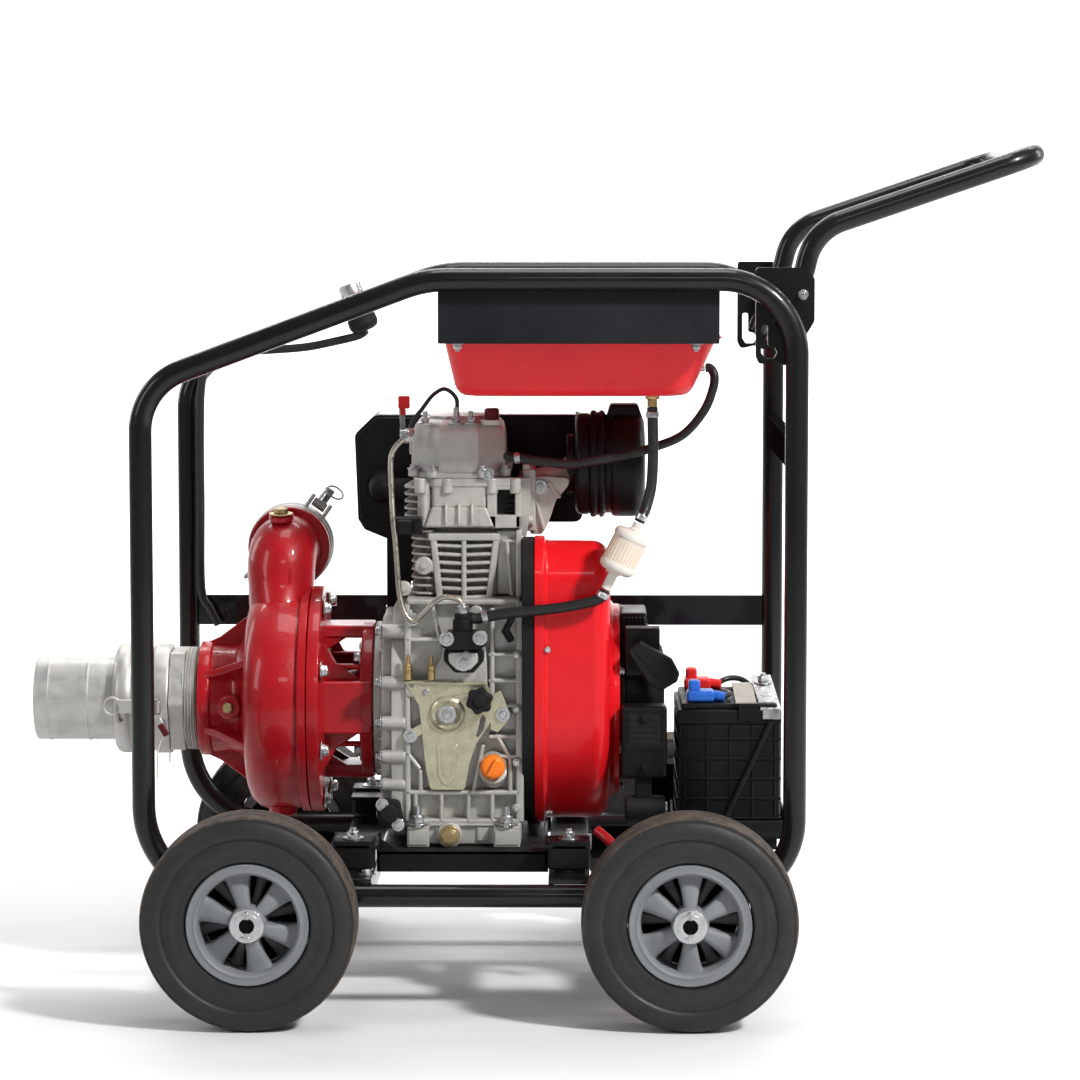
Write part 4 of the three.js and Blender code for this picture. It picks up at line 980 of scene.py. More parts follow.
p.prism("XZ", roundpoly([(-93.5, 415.8), (-57.7, 415.8), (-57.7, 403.8), (-67.3, 394.2), (-82.8, 394.2), (-92.3, 403.8)], 5, 4), -155.5, -149, AF, 1.6, 3)
p.hexbolt((-74.9, -155.4, 403.0), (0, -1, 0), 10, 4.6)
for x_, z_ in ((-94.4, 433.7), (-54.7, 434.9)):
    p.hexbolt((x_, -171, z_), (0, -1, 0), 9, 4.6)
p.cyl((-63.8, -152, 456), (-72, -152, 456), 7.4, BG, n=28)
p.cyl((-72.2, -146.0, 411.5), (-71.8, -158.0, 412.9), 5, AF, n=24)
# black plug beside the pump
p.cyl((-18.7, -138.0, 428.6), (-25.6, -146, 441.8), 5, M["black"], n=28)
p.cyl((-25.6, -146, 439.4), (-13.7, -150, 463.6), 4.2, M["black"], n=24, b=1.4)
p.make()

# high pressure pipe with union nuts and a rubber-lined clamp
P_ = [(-147, -120, 668), (-157.5, -124, 657), (-162, -128, 642), (-161, -133, 607.6), (-159, -139, 572), (-156.7, -141, 552), (-154, -145, 517), (-151.5, -148, 486), (-146.6, -150, 466), (-140.7, -151, 456), (-132.7, -151, 453), (-122.8, -151, 462), (-110.9, -151, 474), (-99, -150.5, 481), (-88, -150, 480.5), (-80.5, -150, 478), (-76.8, -150, 472), (-75.9, -150, 467), (-75.9, -150, 462.4)]
p = Piece("injection_pipe_steel", slot="zinc", replaces="injection_pipe")
p.tube(smooth(P_, 6), 3.2, M["pipe"], 16)
p.hexbolt((-75.9, -150, 462.0), (0, 0, 1), 13, 9, washer=False)
p.cyl((-75.9, -150, 470), (-75.9, -150, 474), 4.8, M["zinc"], n=20)
p.hexbolt((-146, -117, 669.5), (0.6, 0.7, -0.2), 11, 8, washer=False)
p.cyl((-143, -108, 672), (-138, -98.6, 675), 4.6, M["zinc"], n=20)
p.make()
p = Piece("pipe_clamp_bracket", slot="satin_black")
p.box(-160.0, -125.3, -130, -100.5, 553.6, 574.0, M["black"], 2.5, 3)
p.box(-153.7, -137.0, -145, -128, 556.5, 572.1, M["black"], 2.5, 3)
p.hexbolt((-132.1, -130.0, 563.2), (0, -1, 0), 5.5, 3.0, M["satin"])
p.make()

# cylinder block: deep cooling fins, louvred panel
p = Piece("cylinder_block_casting", slot="cast_alu", replaces="cylinder_block")
p.box(-122, -20, -78, 48, 476.2, 557.5, A, 2.0)
for k in range(9):
    z = 478.5 + k * 9.4
    p.prism("XY", roundpoly([(-140, -76), (-134, -92), (-112, -98), (-112, 50), (-134, 54), (-140, 44)], 8, 4), z, z + 2.8, A, 1.0)
    p.prism("XY", roundpoly([(-30, -86), (-10, -86), (-8, -78), (-8, 50), (-14, 55), (-30, 52)], 5, 4), z, z + 2.8, A, 1.0)
# slanted posts either side of the louvres
def post(x0, z0, x1, z1, w, y0=-100.6, y1=-80):
    p.bar((x0, (y0 + y1) / 2, z0), (x1, (y0 + y1) / 2, z1), w, y1 - y0, A, 1.8, up=(0, 1, 0))
zT, zB = 552.3, 472.5
post(-113.3, zT, -104.8, zB, 8)
post(-75.9, zT, -75.9, zB, 6)
post(-36.2, zT, -45.8, zB, 8)
post(-24.2, 543.8, -18.1, 477.4, 5)
post(-30.2, 543.8, -12.1, 543.8, 5)
post(-119.3, 548.6, -32.6, 548.6, 9, -101.5)
for k in range(7):
    z = 537.0 - k * 10.3
    t_ = k / 6
    xl0, xl1 = -112.1 + t_ * 7, -77.2
    xr0, xr1 = -74.8, -37.5 - t_ * 8
    p.bar((xl0, -91.5, z + 1.5), (xl1, -91.5, z), 4.2, 15, A, 1.3, up=(0, 1, 0))
    p.bar((xr0, -91.5, z), (xr1, -91.5, z + 1.5), 4.2, 15, A, 1.3, up=(0, 1, 0))
# right hand flange and side wall
p.box(-13.2, -6.0, -106, -70, 476.4, 557.5, A, 1.6)
p.box(-36.4, -8.7, -90, -76, 478, 556, A, 2.5, 3)
# oil line boss at the lower left, with bolt
p.cyl((-123.9, -103.5, 514.0), (-123.9, -84, 514.0), 11, A, n=36, b=2)
p.bar((-124.3, -94, 513.2), (-105.0, -94, 513.2), 15, 12, A, 2.5, up=(0, 1, 0))
p.hexbolt((-123.9, -103.3, 514.0), (0, -1, 0), 8, 4, A, washer=False)
p.cyl((-148.2, -99, 485.8), (-148.2, -88, 485.8), 9, A, n=32, b=1.5)
p.hexbolt((-148.2, -98.8, 485.8), (0, -1, 0), 8, 4, A, washer=False)
p.make()

# cylinder head
p = Piece("cylinder_head_casting", slot="cast_alu", replaces="cylinder_head")
p.box(-112, -8, -84, 52, 558.2, 619.4, A, 2.5, 3)
# upper deck with bolt bosses
p.prism("XY", roundpoly([(-138, -60), (-122, -92), (-112, -101), (-20, -101), (-7, -90), (-7, 50), (-120, 52), (-138, 34)], 8, 5), 609, 619.4, A, 1.8, 3)
for x_ in (-128, -96, -42, -14):
    p.cyl((x_, -97, 601), (x_, -97, 619.2), 7.2, A, n=30, b=1.6)
p.hexbolt((-46.9, -103, 624.9), (0, -1, 0), 8, 4)
# smooth front housing that narrows upwards, then a sloping skirt with three short ribs
def slab(front, back, y0, y1, mat, b=2.4):
    n_ = len(front)
    vs = [(x, y0, z) for x, z in front] + [(x, y1, z) for x, z in back]
    fs = [tuple(range(n_)), tuple(range(2 * n_ - 1, n_ - 1, -1))] + [(i, (i + 1) % n_, n_ + (i + 1) % n_, n_ + i) for i in range(n_)]
    p.solid(vs, fs, mat, b, 3, 20)
slab([(-112.9, 624.4), (-49.2, 624.5), (-49.3, 583.5), (-113.0, 583.5)], [(-119.5, 623.3), (-44.8, 623.4), (-44.9, 579.9), (-119.6, 579.8)], -99, -80, A, 3)
slab([(-114.1, 584.8), (-49.2, 584.9), (-39.6, 561.0), (-123.7, 560.9)], [(-117.2, 584.7), (-47.3, 584.7), (-37.7, 556.9), (-126.9, 556.8)], -102.5, -80, A, 2.4)
for px in (-97.4, -81.8, -66.2):
    p.bar((px, -101.5, 588.8), (px, -102.5, 564.7), 3.6, 9, A, 1.4, up=(0, 1, 0))
# right hand block framing a deep window with fins inside
zt, zb = 605.3, 575.2
for x0_, x1_, z0_, z1_ in ((-48.2, -36.2, zb - 16, 618), (-14.5, -7.3, zb - 16, 618), (-48.2, -7.3, zt, 618), (-48.2, -7.3, zb - 16, zb)):
    p.box(x0_, x1_, -100.4, -70, z0_, z1_, A, 1.8, 3)
# painted shade: a black sheet at the back of the window and black-painted fins stand in for its dark depth
p.box(-37.7, -13.6, -86.5, -83.9, zb - 1, zt + 1, M["black"], 0.3)
for k in range(4):
    p.box(-24.3, -13.5, -93, -86, zb + 3 + k * 7.2, zb + 5.0 + k * 7.2, M["satin"], 0.7)
# left: valve-side barrel and stacked fins
p.cyl((-124.1, -92, 618.6), (-124.1, -92, 560.6), 7.5, A, n=36, b=3)
p.bar((-122.3, -82, 618.6), (-122.3, -82, 560.6), 14, 14, A, 3, up=(0, 1, 0))
for k in range(6):
    z = 562.5 + k * 8.7
    p.prism("XY", roundpoly([(-149, -60), (-147.5, -80), (-134, -92), (-114, -94), (-110, 48), (-134, 50), (-141, 40)], 6, 4), z, z + 3.0, A, 1.0)
for k in range(7):
    z = 562 + k * 7.2
    p.prism("XY", roundpoly([(-30, -70), (-9, -70), (-6.5, -60), (-6.5, 48), (-12, 54), (-30, 50)], 5, 4), z, z + 2.4, A, 0.7)
p.make()

# head cover: eight-sided die casting with studs, breather and a filler plug
p = Piece("head_cover_casting", slot="cast_alu", replaces="head_cover")
def octo(k, dx=0, n=0):
    c = (-83, -24)
    pts = [(-141.5, -66), (-107, -98), (-58, -98), (-24.5, -70), (-24.5, 26), (-46, 49), (-118, 49), (-141.5, 28)]
    return roundpoly([(c[0] + (x - c[0]) * k, c[1] + (y_ - c[1]) * k) for x, y_ in pts], 3.2 * k, 4)
def loftz(pc, rings, mat):
    bm = bmesh.new()
    rows = [[bm.verts.new((x, y_, z)) for x, y_ in o] for o, z in rings]
    for a_, b_ in zip(rows, rows[1:]):
        for i in range(len(a_)):
            bm.faces.new((a_[i], a_[(i + 1) % len(a_)], b_[(i + 1) % len(b_)], b_[i]))
    bm.faces.new(rows[0])
    bm.faces.new(rows[-1][::-1])
    pc.put(bm, mat)
loftz(p, [(octo(1.03), 619.9), (octo(1.03), 624.2), (octo(1.02), 625.4), (octo(0.985), 626.4), (octo(0.98), 628), (octo(0.965), 662), (octo(0.945), 674), (octo(0.90), 681.5), (octo(0.83), 686.2), (octo(0.74), 688.2)], AF)
loftz(p, [(octo(0.62), 687), (octo(0.62), 690.5), (octo(0.60), 692), (octo(0.58), 692.2)], AF)
for x, y_ in ((-137, -78), (-113, -100), (-53, -101), (-26, -80), (-26, 32), (-137, 34)):
    p.cyl((x, y_, 620.2), (x, y_, 629), 6.4, AF, n=24, b=1.2)
    p.hexbolt((x, y_, 629), (0, 0, 1), 8, 4)
for x, y_, h in ((-122.7, -84, 11), (-85.9, -88, 16), (-67.8, -88, 12)):
    p.hexbolt((x, y_, 684), (0, 0, 1), 9, 6, nut=True)
    p.cyl((x, y_, 688), (x, y_, 688 + h), 3, M["zinc"], n=16)
p.cyl((-42.4, -80.0, 683.4), (-42.7, -80, 702.7), 9, M["dark_red"], n=32, b=2.5)
p.cyl((-42.7, -80, 683), (-42.7, -80, 689), 13.5, AF, n=32)
# near-face rib and lower lip
p.box(-143, -139.5, -56, 16, 645, 662, AF, 1.5)
p.make()

# decompression lever: red moulded cap on a cranked stem
p = Piece("decompression_lever_arm", "decompressor", "decompression_lever", "red_plastic")
p.cyl((-153, -84, 672), (-143.2, -84, 672), 5.8, M["zinc"], n=24)
p.bar((-149, -84, 672), (-151, -84, 702), 6.5, 3.2, M["steel"], 0.8, up=(0, 1, 0))
p.box(-155.2, -141.0, -88, -80, 702, 717.6, M["redp"], 2.0, 3)
p.box(-152, -146, -88, -80, 694, 702, M["redp"], 1.5)
p.make()

# muffler with heat shield
p = Piece("muffler_box", slot="satin_black", replaces="muffler")
mo = roundpoly([(-213, 556, 6), (-205, 543, 6), (-178, 532, 6), (-12, 532, 3), (-12, 552.5, 3), (67, 552.5, 12), (67, 686, 10), (-192, 686, 14), (-217, 662, 12)], 10, 5)
p.prism("XZ", mo, 66, 161, M["muffler"], 5.0, 4)
p.prism("XZ", roundpoly([(-210, 556, 6), (-203, 546, 6), (-177, 535, 6), (-14, 535, 3), (-14, 555, 3), (64, 555, 12), (64, 683, 10), (-190, 683, 14), (-214, 660, 12)], 10, 5), 62.3, 68, M["muffler"], 1.5)
for x in (-180, -120, -60, 0):
    p.box(x, x + 34, 62.2, 64, 566, 570, M["muffler"], 0.5)
p.box(-188, 58, 70, 156, 685.2, 686.9, M["zinc"], 0.5)
p.box(-177.0, -146.5, 60, 62.4, 425.4, 536, M["muffler"], 0.8)
p.box(-148, -118, 60, 62.4, 479, 536, M["muffler"], 0.8)
for x, z_ in ((-206, 560), (-206, 650), (40, 660)):
    p.hexbolt((x, 62.4, z_), (0, -1, 0), 6, 3.0, M["muffler"], washer=False)
# exhaust elbow with a domed cover
p.lathe((-181, 66, 597), (0, -1, 0), [(0, 0), (21, 0), (21, 5), (18, 8), (17.5, 18), (16, 26), (13, 31), (8, 34.5), (0, 36)], M["muffler"], 44)
p.tube(smooth([(-181, 48, 597), (-165, 30, 597), (-146, 22, 598), (-139, 22, 598)], 5), 13, M["muffler"], 24)
p.make()

# air cleaner canister with clamp band and cap
p = Piece("air_cleaner_canister", slot="black_plastic", replaces="air_cleaner")
cc = (0, -10, 631)
p.lathe(cc, (1, 0, 0), [(0, 57.2), (50, 57.2), (57, 58.2), (60.5, 61), (62, 65), (62, 73), (60.8, 74.6), (62.4, 76), (64.8, 76.8), (65.4, 78.4), (65.4, 82), (64, 83.4), (63.2, 84.2), (63.2, 86), (64, 87), (65.4, 88), (65.4, 91.4), (64.4, 92.8), (62.6, 93.6), (60.4, 95.2), (60.4, 101), (62.6, 102.6), (64.2, 105), (64.6, 112), (64.4, 128), (63, 134), (59, 139), (52, 141.8), (36, 143), (0, 143)], M["black_gloss"], 96)
p.prism("XZ", roundpoly([(96, 690), (100, 704.6), (134, 704.6), (139, 690), (136, 676), (98, 676)], 5, 4), -32, 12, M["black_gloss"], 4, 3)
for t in (60,):
    a_ = math.radians(t)
    d_ = Vector((0, math.cos(a_), math.sin(a_)))
    c = Vector((85, -10, 631)) + d_ * 64.0
    p.bar(c - Vector((9, 0, 0)), c + Vector((11, 0, 0)), 9, 2.0, M["zinc"], 0.6, up=d_)
p.make()

# intake manifold: round runner, with a webbed cast bracket below it
p = Piece("intake_manifold_casting", slot="cast_alu", replaces="intake_manifold")
p.box(-5.6, 3.5, -70, -8, 590, 634, A, 1.6, 3)
for y_, z_ in ((-64, 597), (-14, 597), (-64, 627), (-14, 627)):
    p.hexbolt((3.4, y_, z_), (1, 0, 0), 8, 4)
p.tube(smooth([(0, -46, 612), (16, -44, 613), (32, -38, 616), (48, -26, 622), (56, -16, 628)], 6), 15.5, A, 30)
p.prism("XZ", roundpoly([(0.6, 619.3), (24.8, 619.3), (51.5, 616.9), (49.0, 607.2), (34.5, 590.2), (24.8, 561.0), (17.6, 548.8), (3.0, 548.8)], 4, 4), -63, -56, A, 2.0, 3)
p.bar((24.9, -62, 612.3), (39.5, -62, 592.9), 4, 8, A, 1.4, up=(0, 1, 0))
p.bar((4.3, -63, 614.7), (20.0, -63, 554.0), 4.5, 9, A, 1.5, up=(0, 1, 0))
p.cyl((-3.9, -76, 566.7), (6.9, -76, 566.7), 7.5, A, n=30, b=1.2)
p.box(-6.0, 10, -72, -50, 553, 628, A, 2.0, 3)
p.prism("XZ", roundpoly([(-10.0, 618.3), (3.3, 618.3), (4.5, 591.7), (-0.3, 548.1), (-10.0, 548.1)], 2.5, 3), -84, -60, A, 1.8, 3)
p.lathe((0, -10, 631), (1, 0, 0), [(0, 47), (34, 47), (36, 48.5), (36, 56), (34, 57), (0, 57)], M["black_gloss"], 48)
p.hexbolt((15.2, -66.5, 606.4), (0, -1, 0), 9, 4)
p.make()

# blower housing: black back plate, red flange, deep-drawn drum, stepped rim
def shroud_out(o, n=56):
    pts = arc(0, CZ0, 148 - o, 180, 360, n)
    pts += arc(62, 445, 86 - o, 0, 82, 16)
    pts += arc(-98, 497, 50 - o, 92, 180, 16)
    return pts
def loftx(pc, rings, mat, cap0=True, cap1=True):
    bm = bmesh.new()
    rows = [[bm.verts.new((x, y_, z)) for y_, z in o] for o, x in rings]
    for a_, b_ in zip(rows, rows[1:]):
        for i in range(len(a_)):
            bm.faces.new((a_[i], a_[(i + 1) % len(a_)], b_[(i + 1) % len(b_)], b_[i]))
    if cap0:
        bm.faces.new(rows[0])
    if cap1:
        bm.faces.new(rows[-1][::-1])
    pc.put(bm, mat)
p = Piece("blower_back_plate", slot="satin_black")
loftx(p, [(shroud_out(-1.5), -5.4), (shroud_out(-2.5), -4.6), (shroud_out(-2.5), 8.0), (shroud_out(-1.5), 8.8)], M["satin"])
p.make()
p = Piece("blower_housing_red", slot="shroud_red", replaces="fan_shroud")
rings = [(shroud_out(-2.8), 9.0), (shroud_out(-3.8), 9.8), (shroud_out(-3.8), 19.4), (shroud_out(-3.0), 20.8), (shroud_out(-1), 21.6), (shroud_out(1.2), 23.2), (shroud_out(2.0), 26)]
for k in range(0, 11):
    t = math.radians(9 * k)
    rings.append((shroud_out(2.0 + 22 * (1 - math.cos(t))), 78 + 22 * math.sin(t)))
loftx(p, rings, M["shroud"])
p.lathe((0, 0, CZ0), (1, 0, 0), [(84, 98), (121, 98), (121.5, 101), (119, 103.5), (117, 105), (117, 110), (115.5, 112), (84, 112)], M["shroud"], 96)
# red-sleeved starter cable below
p.tube(smooth([(84, -120, 196), (98, -132, 186), (112, -140, 172), (120, -142, 162)], 6), 6.2, M["pump"], 24)
p.cyl((112, -140, 172), (126, -144, 154), 8.4, M["pump"], n=28, b=1.6)
for t in (205, 155, 335, 25, 90, 270):
    a_ = math.radians(t)
    p.hexbolt((111.8, 109 * math.cos(a_), CZ0 + 109 * math.sin(a_)), (1, 0, 0), 8, 4.0)
p.hexbolt((24.1, -149.5, 418.6), (0.5, -0.9, 0), 7.5, 3.4, washer=False)
p.hexbolt((26.7, -142, 221.4), (0.3, -0.8, -0.5), 7.5, 3.4, washer=False)
p.make()

# recoil starter housing with air slots, handle pocket
p = Piece("recoil_starter_housing", slot="black_plastic", replaces="recoil_starter")
p.lathe((0, 0, CZ0), (1, 0, 0), [(0, 112.4), (97, 112.4), (99.6, 114), (99.6, 119), (97.5, 120.5), (96, 139), (93, 146), (86, 151.5), (74, 155), (70, 159), (66, 164), (58, 166.6), (0, 166.8)], M["black"], 96)
for k in range(30):
    a_ = 2 * math.pi * k / 30
    p.bar((123, 97.6 * math.cos(a_), CZ0 + 97.6 * math.sin(a_)), (141, 95.6 * math.cos(a_), CZ0 + 95.6 * math.sin(a_)), 8, 3.4, M["black"], 1.0, up=(0, math.cos(a_), math.sin(a_)))
for k in range(16):
    a_ = 2 * math.pi * k / 16
    p.bar((156.5, 72 * math.cos(a_), CZ0 + 72 * math.sin(a_)), (152.5, 86 * math.cos(a_), CZ0 + 86 * math.sin(a_)), 6, 3.5, M["black"], 1.0, up=(1, 0, 0))
p.prism("YZ", roundpoly([(-58, 420), (58, 420), (52, 451.5), (-52, 451.5)], 10, 4), 112.6, 145, M["black"], 3, 3)
for k in range(6):
    p.box(117 + k * 4.6, 119.4 + k * 4.6, -59.4, -40, 424, 447, M["black"], 0.8)
p.prism("YZ", roundpoly([(-104, 372), (-76, 392), (-70, 440), (-99, 438)], 8, 4), 118, 160, M["black"], 4, 3)
p.make()
p = Piece("recoil_grip_handle", "starter_grip", "recoil_grip", "black_plastic")
gp = [(120.7, 413.1), (136.9, 425.2), (174.1, 403.5), (183.1, 386.6), (180.2, 377.0), (161.0, 365.4), (147.8, 372.1)]
p.prism("XZ", roundpoly(gp, 3.5, 5), -127.5, -105.5, M["black_rough"], 4.0, 4)
p.prism("XZ", roundpoly([(128.5, 414.4), (138.1, 419.2), (171.7, 398.7), (176.5, 386.6), (161.0, 375.7)], 2.5, 4), -128.4, -124, M["black_rough"], 0.8, 2)
p.cyl((152, -104, 402), (152, -96, 402), 3.4, M["hose"], n=16)
p.make()

# starter motor under the recoil unit
p = Piece("starter_motor_body", slot="satin_black", replaces="starter_motor")
p.cyl((116, -123, 300), (166, -123, 300), 19, M["satin"], n=48, b=3)
p.box(113.4, 168, -141, -105, 262, 349, M["black"], 5, 3)
p.box(120, 160, -142, -128, 300, 340, M["black_rough"], 3, 3)
p.cyl((118, -123, 222), (166, -123, 222), 17, M["satin"], n=44, b=3)
p.box(130, 150, -132, -114, 222, 264, M["satin"], 2)
p.cyl((166, -123, 222), (169, -123, 222), 9, M["zinc"], n=28)
for z_ in (276, 335):
    p.hexbolt((141, -141.6, z_), (0, -1, 0), 8, 3.6, M["satin"])
for k in range(5):
    p.box(122, 158, -142.6, -140, 304 + k * 7, 307 + k * 7, M["black_rough"], 0.6)
p.make()


# ------------------------------------------------------------------ pump
PX, PZ = -292, 340
RED = M["pump"]

# casing: rounded volute, cover flange, suction neck with webs, discharge neck and elbow
p = Piece("pump_casing_red", slot="pump_red", replaces="pump_casing")
def snail(r0, grow, a0=-90, n=72):
    # a volute outline whose radius opens towards the discharge
    pts = []
    for k in range(n):
        t = 360.0 * k / n
        f = ((t - a0) % 360) / 360.0
        r = r0 + grow * f
        pts.append((r * math.cos(math.radians(t)), PZ + r * math.sin(math.radians(t))))
    return pts
def lathex(prof, mat, n=96):
    p.lathe((0, 0, PZ), (1, 0, 0), prof, mat, n)
# (radius, x): closed ring section of the casing
lathex([(46, -402.6), (68.5, -402.6), (70, -401), (70, -390), (68.5, -388), (66.5, -386.5), (66, -364), (69, -354), (77, -348.2), (92, -345.4), (100, -343.4), (112, -342.6), (124, -338), (132.5, -329), (137, -316), (138.2, -306), (138.2, -296), (136.5, -284), (134, -278.5), (134.5, -277), (138.0, -276.2), (138.9, -275), (138.9, -266.6), (137.6, -265.6), (100, -265.6), (100, -270), (104, -300), (100, -326), (80, -334), (52, -336), (46, -342)], RED, 128)
# triangular webs between the neck and the volute
for k in range(6):
    a_ = math.radians(60 * k + 28)
    cy_, cz_ = math.cos(a_), math.sin(a_)
    q = lambda x, r, o: (x, r * cy_ - o * cz_, PZ + r * cz_ + o * cy_)
    vs, w_ = [], 5.0
    for o in (-w_, w_):
        vs += [q(-396, 60, o), q(-396, 69.0, o), q(-380, 76, o), q(-345, 102, o), q(-338, 110, o), q(-338, 60, o)]
    fs = [(0, 1, 2, 3, 4, 5), (11, 10, 9, 8, 7, 6)] + [(i, (i + 1) % 6, 6 + (i + 1) % 6, 6 + i) for i in range(6)]
    p.solid(vs, [tuple(reversed(f)) for f in fs], RED, 2.2, 3)
# boss with the drain and priming plugs
c = (-350.7, -124.0, 339.5)

p.cyl((-357, -66, c[2]), (-362, -86, c[2]), 15, RED, n=36, b=3)
p.cyl((-300, -40, 201.8), (-300, -40, 214), 17, RED, n=36, b=2)
def ring_yz(x, cy_, cz_, ry, rz, n=40):
    return [(x, cy_ + ry * math.cos(2 * math.pi * k / n), cz_ + rz * math.sin(2 * math.pi * k / n)) for k in range(n)]
# discharge neck: rises from the volute and bends away to the round flange on the far side
DX, DZ = -297, 523
def oval(c, u, v, ru, rv, n=56):
    c, u, v = Vector(c), Vector(u).normalized(), Vector(v).normalized()
    return [c + u * (ru * math.cos(2 * math.pi * k / n)) + v * (rv * math.sin(2 * math.pi * k / n)) for k in range(n)]
rings_ = []
for (x_, y_, z_, t_, ru, rv) in ((-304, -8, 404, 0, 37.6, 86), (-304, -8, 424, 0, 38.0, 76), (-304, -8, 444, 0, 38.4, 64), (-304, -8, 460, 0, 38.8, 54), (-303.6, -8, 476, 0, 39.8, 46.5), (-303.2, -8, 490, 2, 41.0, 42), (-303, -7.5, 501, 10, 41.6, 41.5), (-302.6, -5, 510, 24, 41.8, 41.6), (-302, 0, 517, 42, 42, 42), (-301, 8, 522, 62, 42, 42), (-299.6, 18, 523.5, 80, 42, 42), (-298, 30, 523.2, 90, 42, 42), (-297, 40, 523, 90, 42, 42)):
    a_ = math.radians(t_)
    d_ = Vector((0, math.sin(a_), math.cos(a_)))
    rings_.append(oval((x_, y_, z_), (1, 0, 0), Vector((1, 0, 0)).cross(d_), ru, rv))
bm = bmesh.new()
rows = [[bm.verts.new(v) for v in r_] for r_ in rings_]
for a_, b_ in zip(rows, rows[1:]):
    for i in range(len(a_)):
        bm.faces.new((a_[i], a_[(i + 1) % len(a_)], b_[(i + 1) % len(b_)], b_[i]))
bm.faces.new(rows[0])
bm.faces.new(rows[-1][::-1])
p.put(bm, RED)
p.lathe((DX, 0, DZ), (0, 1, 0), [(30, 33.4), (49.4, 33.4), (50.8, 35), (50.8, 48.4), (49.6, 49.8), (45.5, 49.8), (41.4, 50.4), (41.4, 95), (40, 97.8), (33, 97.8), (33, 40), (30, 40)], RED, 88)
# casting seam up the neck and over the bend, and the pad of the air plug
seam = [(-290, -8 - 40.2, 440), (-290, -46.5, 470), (-290, -46.6, 492), (-290, -43, 512), (-290, -32, 532), (-290, -18, 547), (-290, 2, 559), (-290, 20, 563)]
p.tube(smooth(seam, 5), 2.4, RED, 12)
p.cyl((-303, -6, 560), (-303, -8, 568.5), 15, RED, n=40, b=3)
p.make()
p = Piece("pump_priming_plug", slot="bronze")
p.hexbolt((-361.6, -85.6, c[2]), (-0.24, -0.97, 0), 12, 6, M["gold"], washer=False)
p.hexbolt((-303, -8, 568.3), (0, -0.1, 1), 15, 6, M["gold"], washer=True)
p.make()

# lantern bracket: two round flanges joined by bars, hub, bolts
p = Piece("lantern_bracket_red", slot="pump_red", replaces="lantern_bracket")
lathex([(60, -264.8), (137.6, -264.8), (138.8, -263.6), (138.8, -251.4), (137.4, -250), (120, -249.8), (104, -246), (60, -246)], RED, 128)
lathex([(24.4, -203), (90, -203), (95, -202), (95.8, -200), (95.8, -189.2), (94.6, -187.8), (24.4, -187.8)], RED, 96)
lathex([(24.4, -247), (33, -247), (33.5, -225), (36, -212), (44, -204), (24.4, -202)], RED, 56)
lathex([(24.4, -262), (78, -262), (70, -250), (52, -243), (24.4, -241)], RED, 64)
for z0, z1 in ((418.2, 433.8), (246.2, 261.8)):
    p.box(-251, -188.2, -33.8, 33.8, z0, z1, RED, 3.5, 3)
for s_ in (-1, 1):
    p.box(-251, -188.2, *sorted((s_ * 78, s_ * 94)), 308, 372, RED, 3.5, 3)
    for z0 in (292, 388):
        p.bar((-250, s_ * 62, z0), (-202, s_ * 66, PZ + (z0 - PZ) * 0.98), 12, 6, RED, 2.4, up=(0, 0, 1))
# gussets from the bars to the flanges
for zc, zt in ((418.5, 404), (261.5, 276)):
    for s_ in (-1, 1):
        yy = s_ * 28
        vs = []
        for o in (-3.6, 3.6):
            vs += [(-250, yy + o, zc), (-250, yy + o, zt), (-240, yy + o, zt + (zc - zt) * 0.2), (-222, yy + o, zc)]
        fs = [(0, 1, 2, 3), (7, 6, 5, 4)] + [(i, (i + 1) % 4, 4 + (i + 1) % 4, 4 + i) for i in range(4)]
        p.solid(vs, [tuple(reversed(f)) for f in fs], RED, 1.2)
for s_ in (-1, 1):
    for zs in (-1, 1):
        yy = s_ * 70
        vs = []
        for o_ in (-4, 4):
            vs += [(-250, yy + o_, PZ + zs * 84), (-250, yy + o_, PZ + zs * 30), (-200, yy + o_, PZ + zs * 30), (-232, yy + o_, PZ + zs * 52)]
        fs = [(0, 1, 2, 3), (7, 6, 5, 4)] + [(i, (i + 1) % 4, 4 + (i + 1) % 4, 4 + i) for i in range(4)]
        p.solid(vs, [tuple(reversed(f)) for f in fs], RED, 1.8)
for k in range(8):
    a_ = math.radians(22.5 + 45 * k)
    p.cyl((-250.5, 126 * math.cos(a_), PZ + 126 * math.sin(a_)), (-247.6, 126 * math.cos(a_), PZ + 126 * math.sin(a_)), 10, RED, n=28, b=1)
    p.hexbolt((-247.7, 126 * math.cos(a_), PZ + 126 * math.sin(a_)), (1, 0, 0), 13, 7)
for k in range(4):
    a_ = math.radians(45 + 90 * k)
    p.hexbolt((-202.8, 80 * math.cos(a_), PZ + 80 * math.sin(a_)), (-1, 0, 0), 13, 7)
p.make()

# ------------------------------------------------------------------ suction side
p = Piece("suction_adapter_cast", slot="cast_alu", replaces="suction_adapter")
hexo = roundpoly([(69.3 * math.cos(math.radians(a_)), PZ + 69.3 * math.sin(math.radians(a_))) for a_ in range(0, 360, 60)], 4, 3)
p.prism("YZ", hexo, -437.4, -420.2, AB, 1.4, 2, holes=[circ(0, PZ, 47.5, 64)])
prof = [(46.5, -437)]
p.lathe((0, 0, PZ), (1, 0, 0), [(46.2, -421), (46.2, -403.6), (61.2, -403.6), (62.2, -404.6)] + [(61.2 + (0, 1.6, 2.5, 1.6)[k % 4], -405.2 - 0.92 * k) for k in range(17)] + [(62.0, -421)], AB, 96)
p.lathe((0, 0, PZ), (1, 0, 0), [(46.2, -491.5), (53.8, -491.5), (55.2, -489.5), (55.2, -472), (52.4, -469), (51.4, -464), (52.4, -459), (55.2, -456), (55.2, -436.5), (46.2, -436.5)], AB, 96)
p.make()

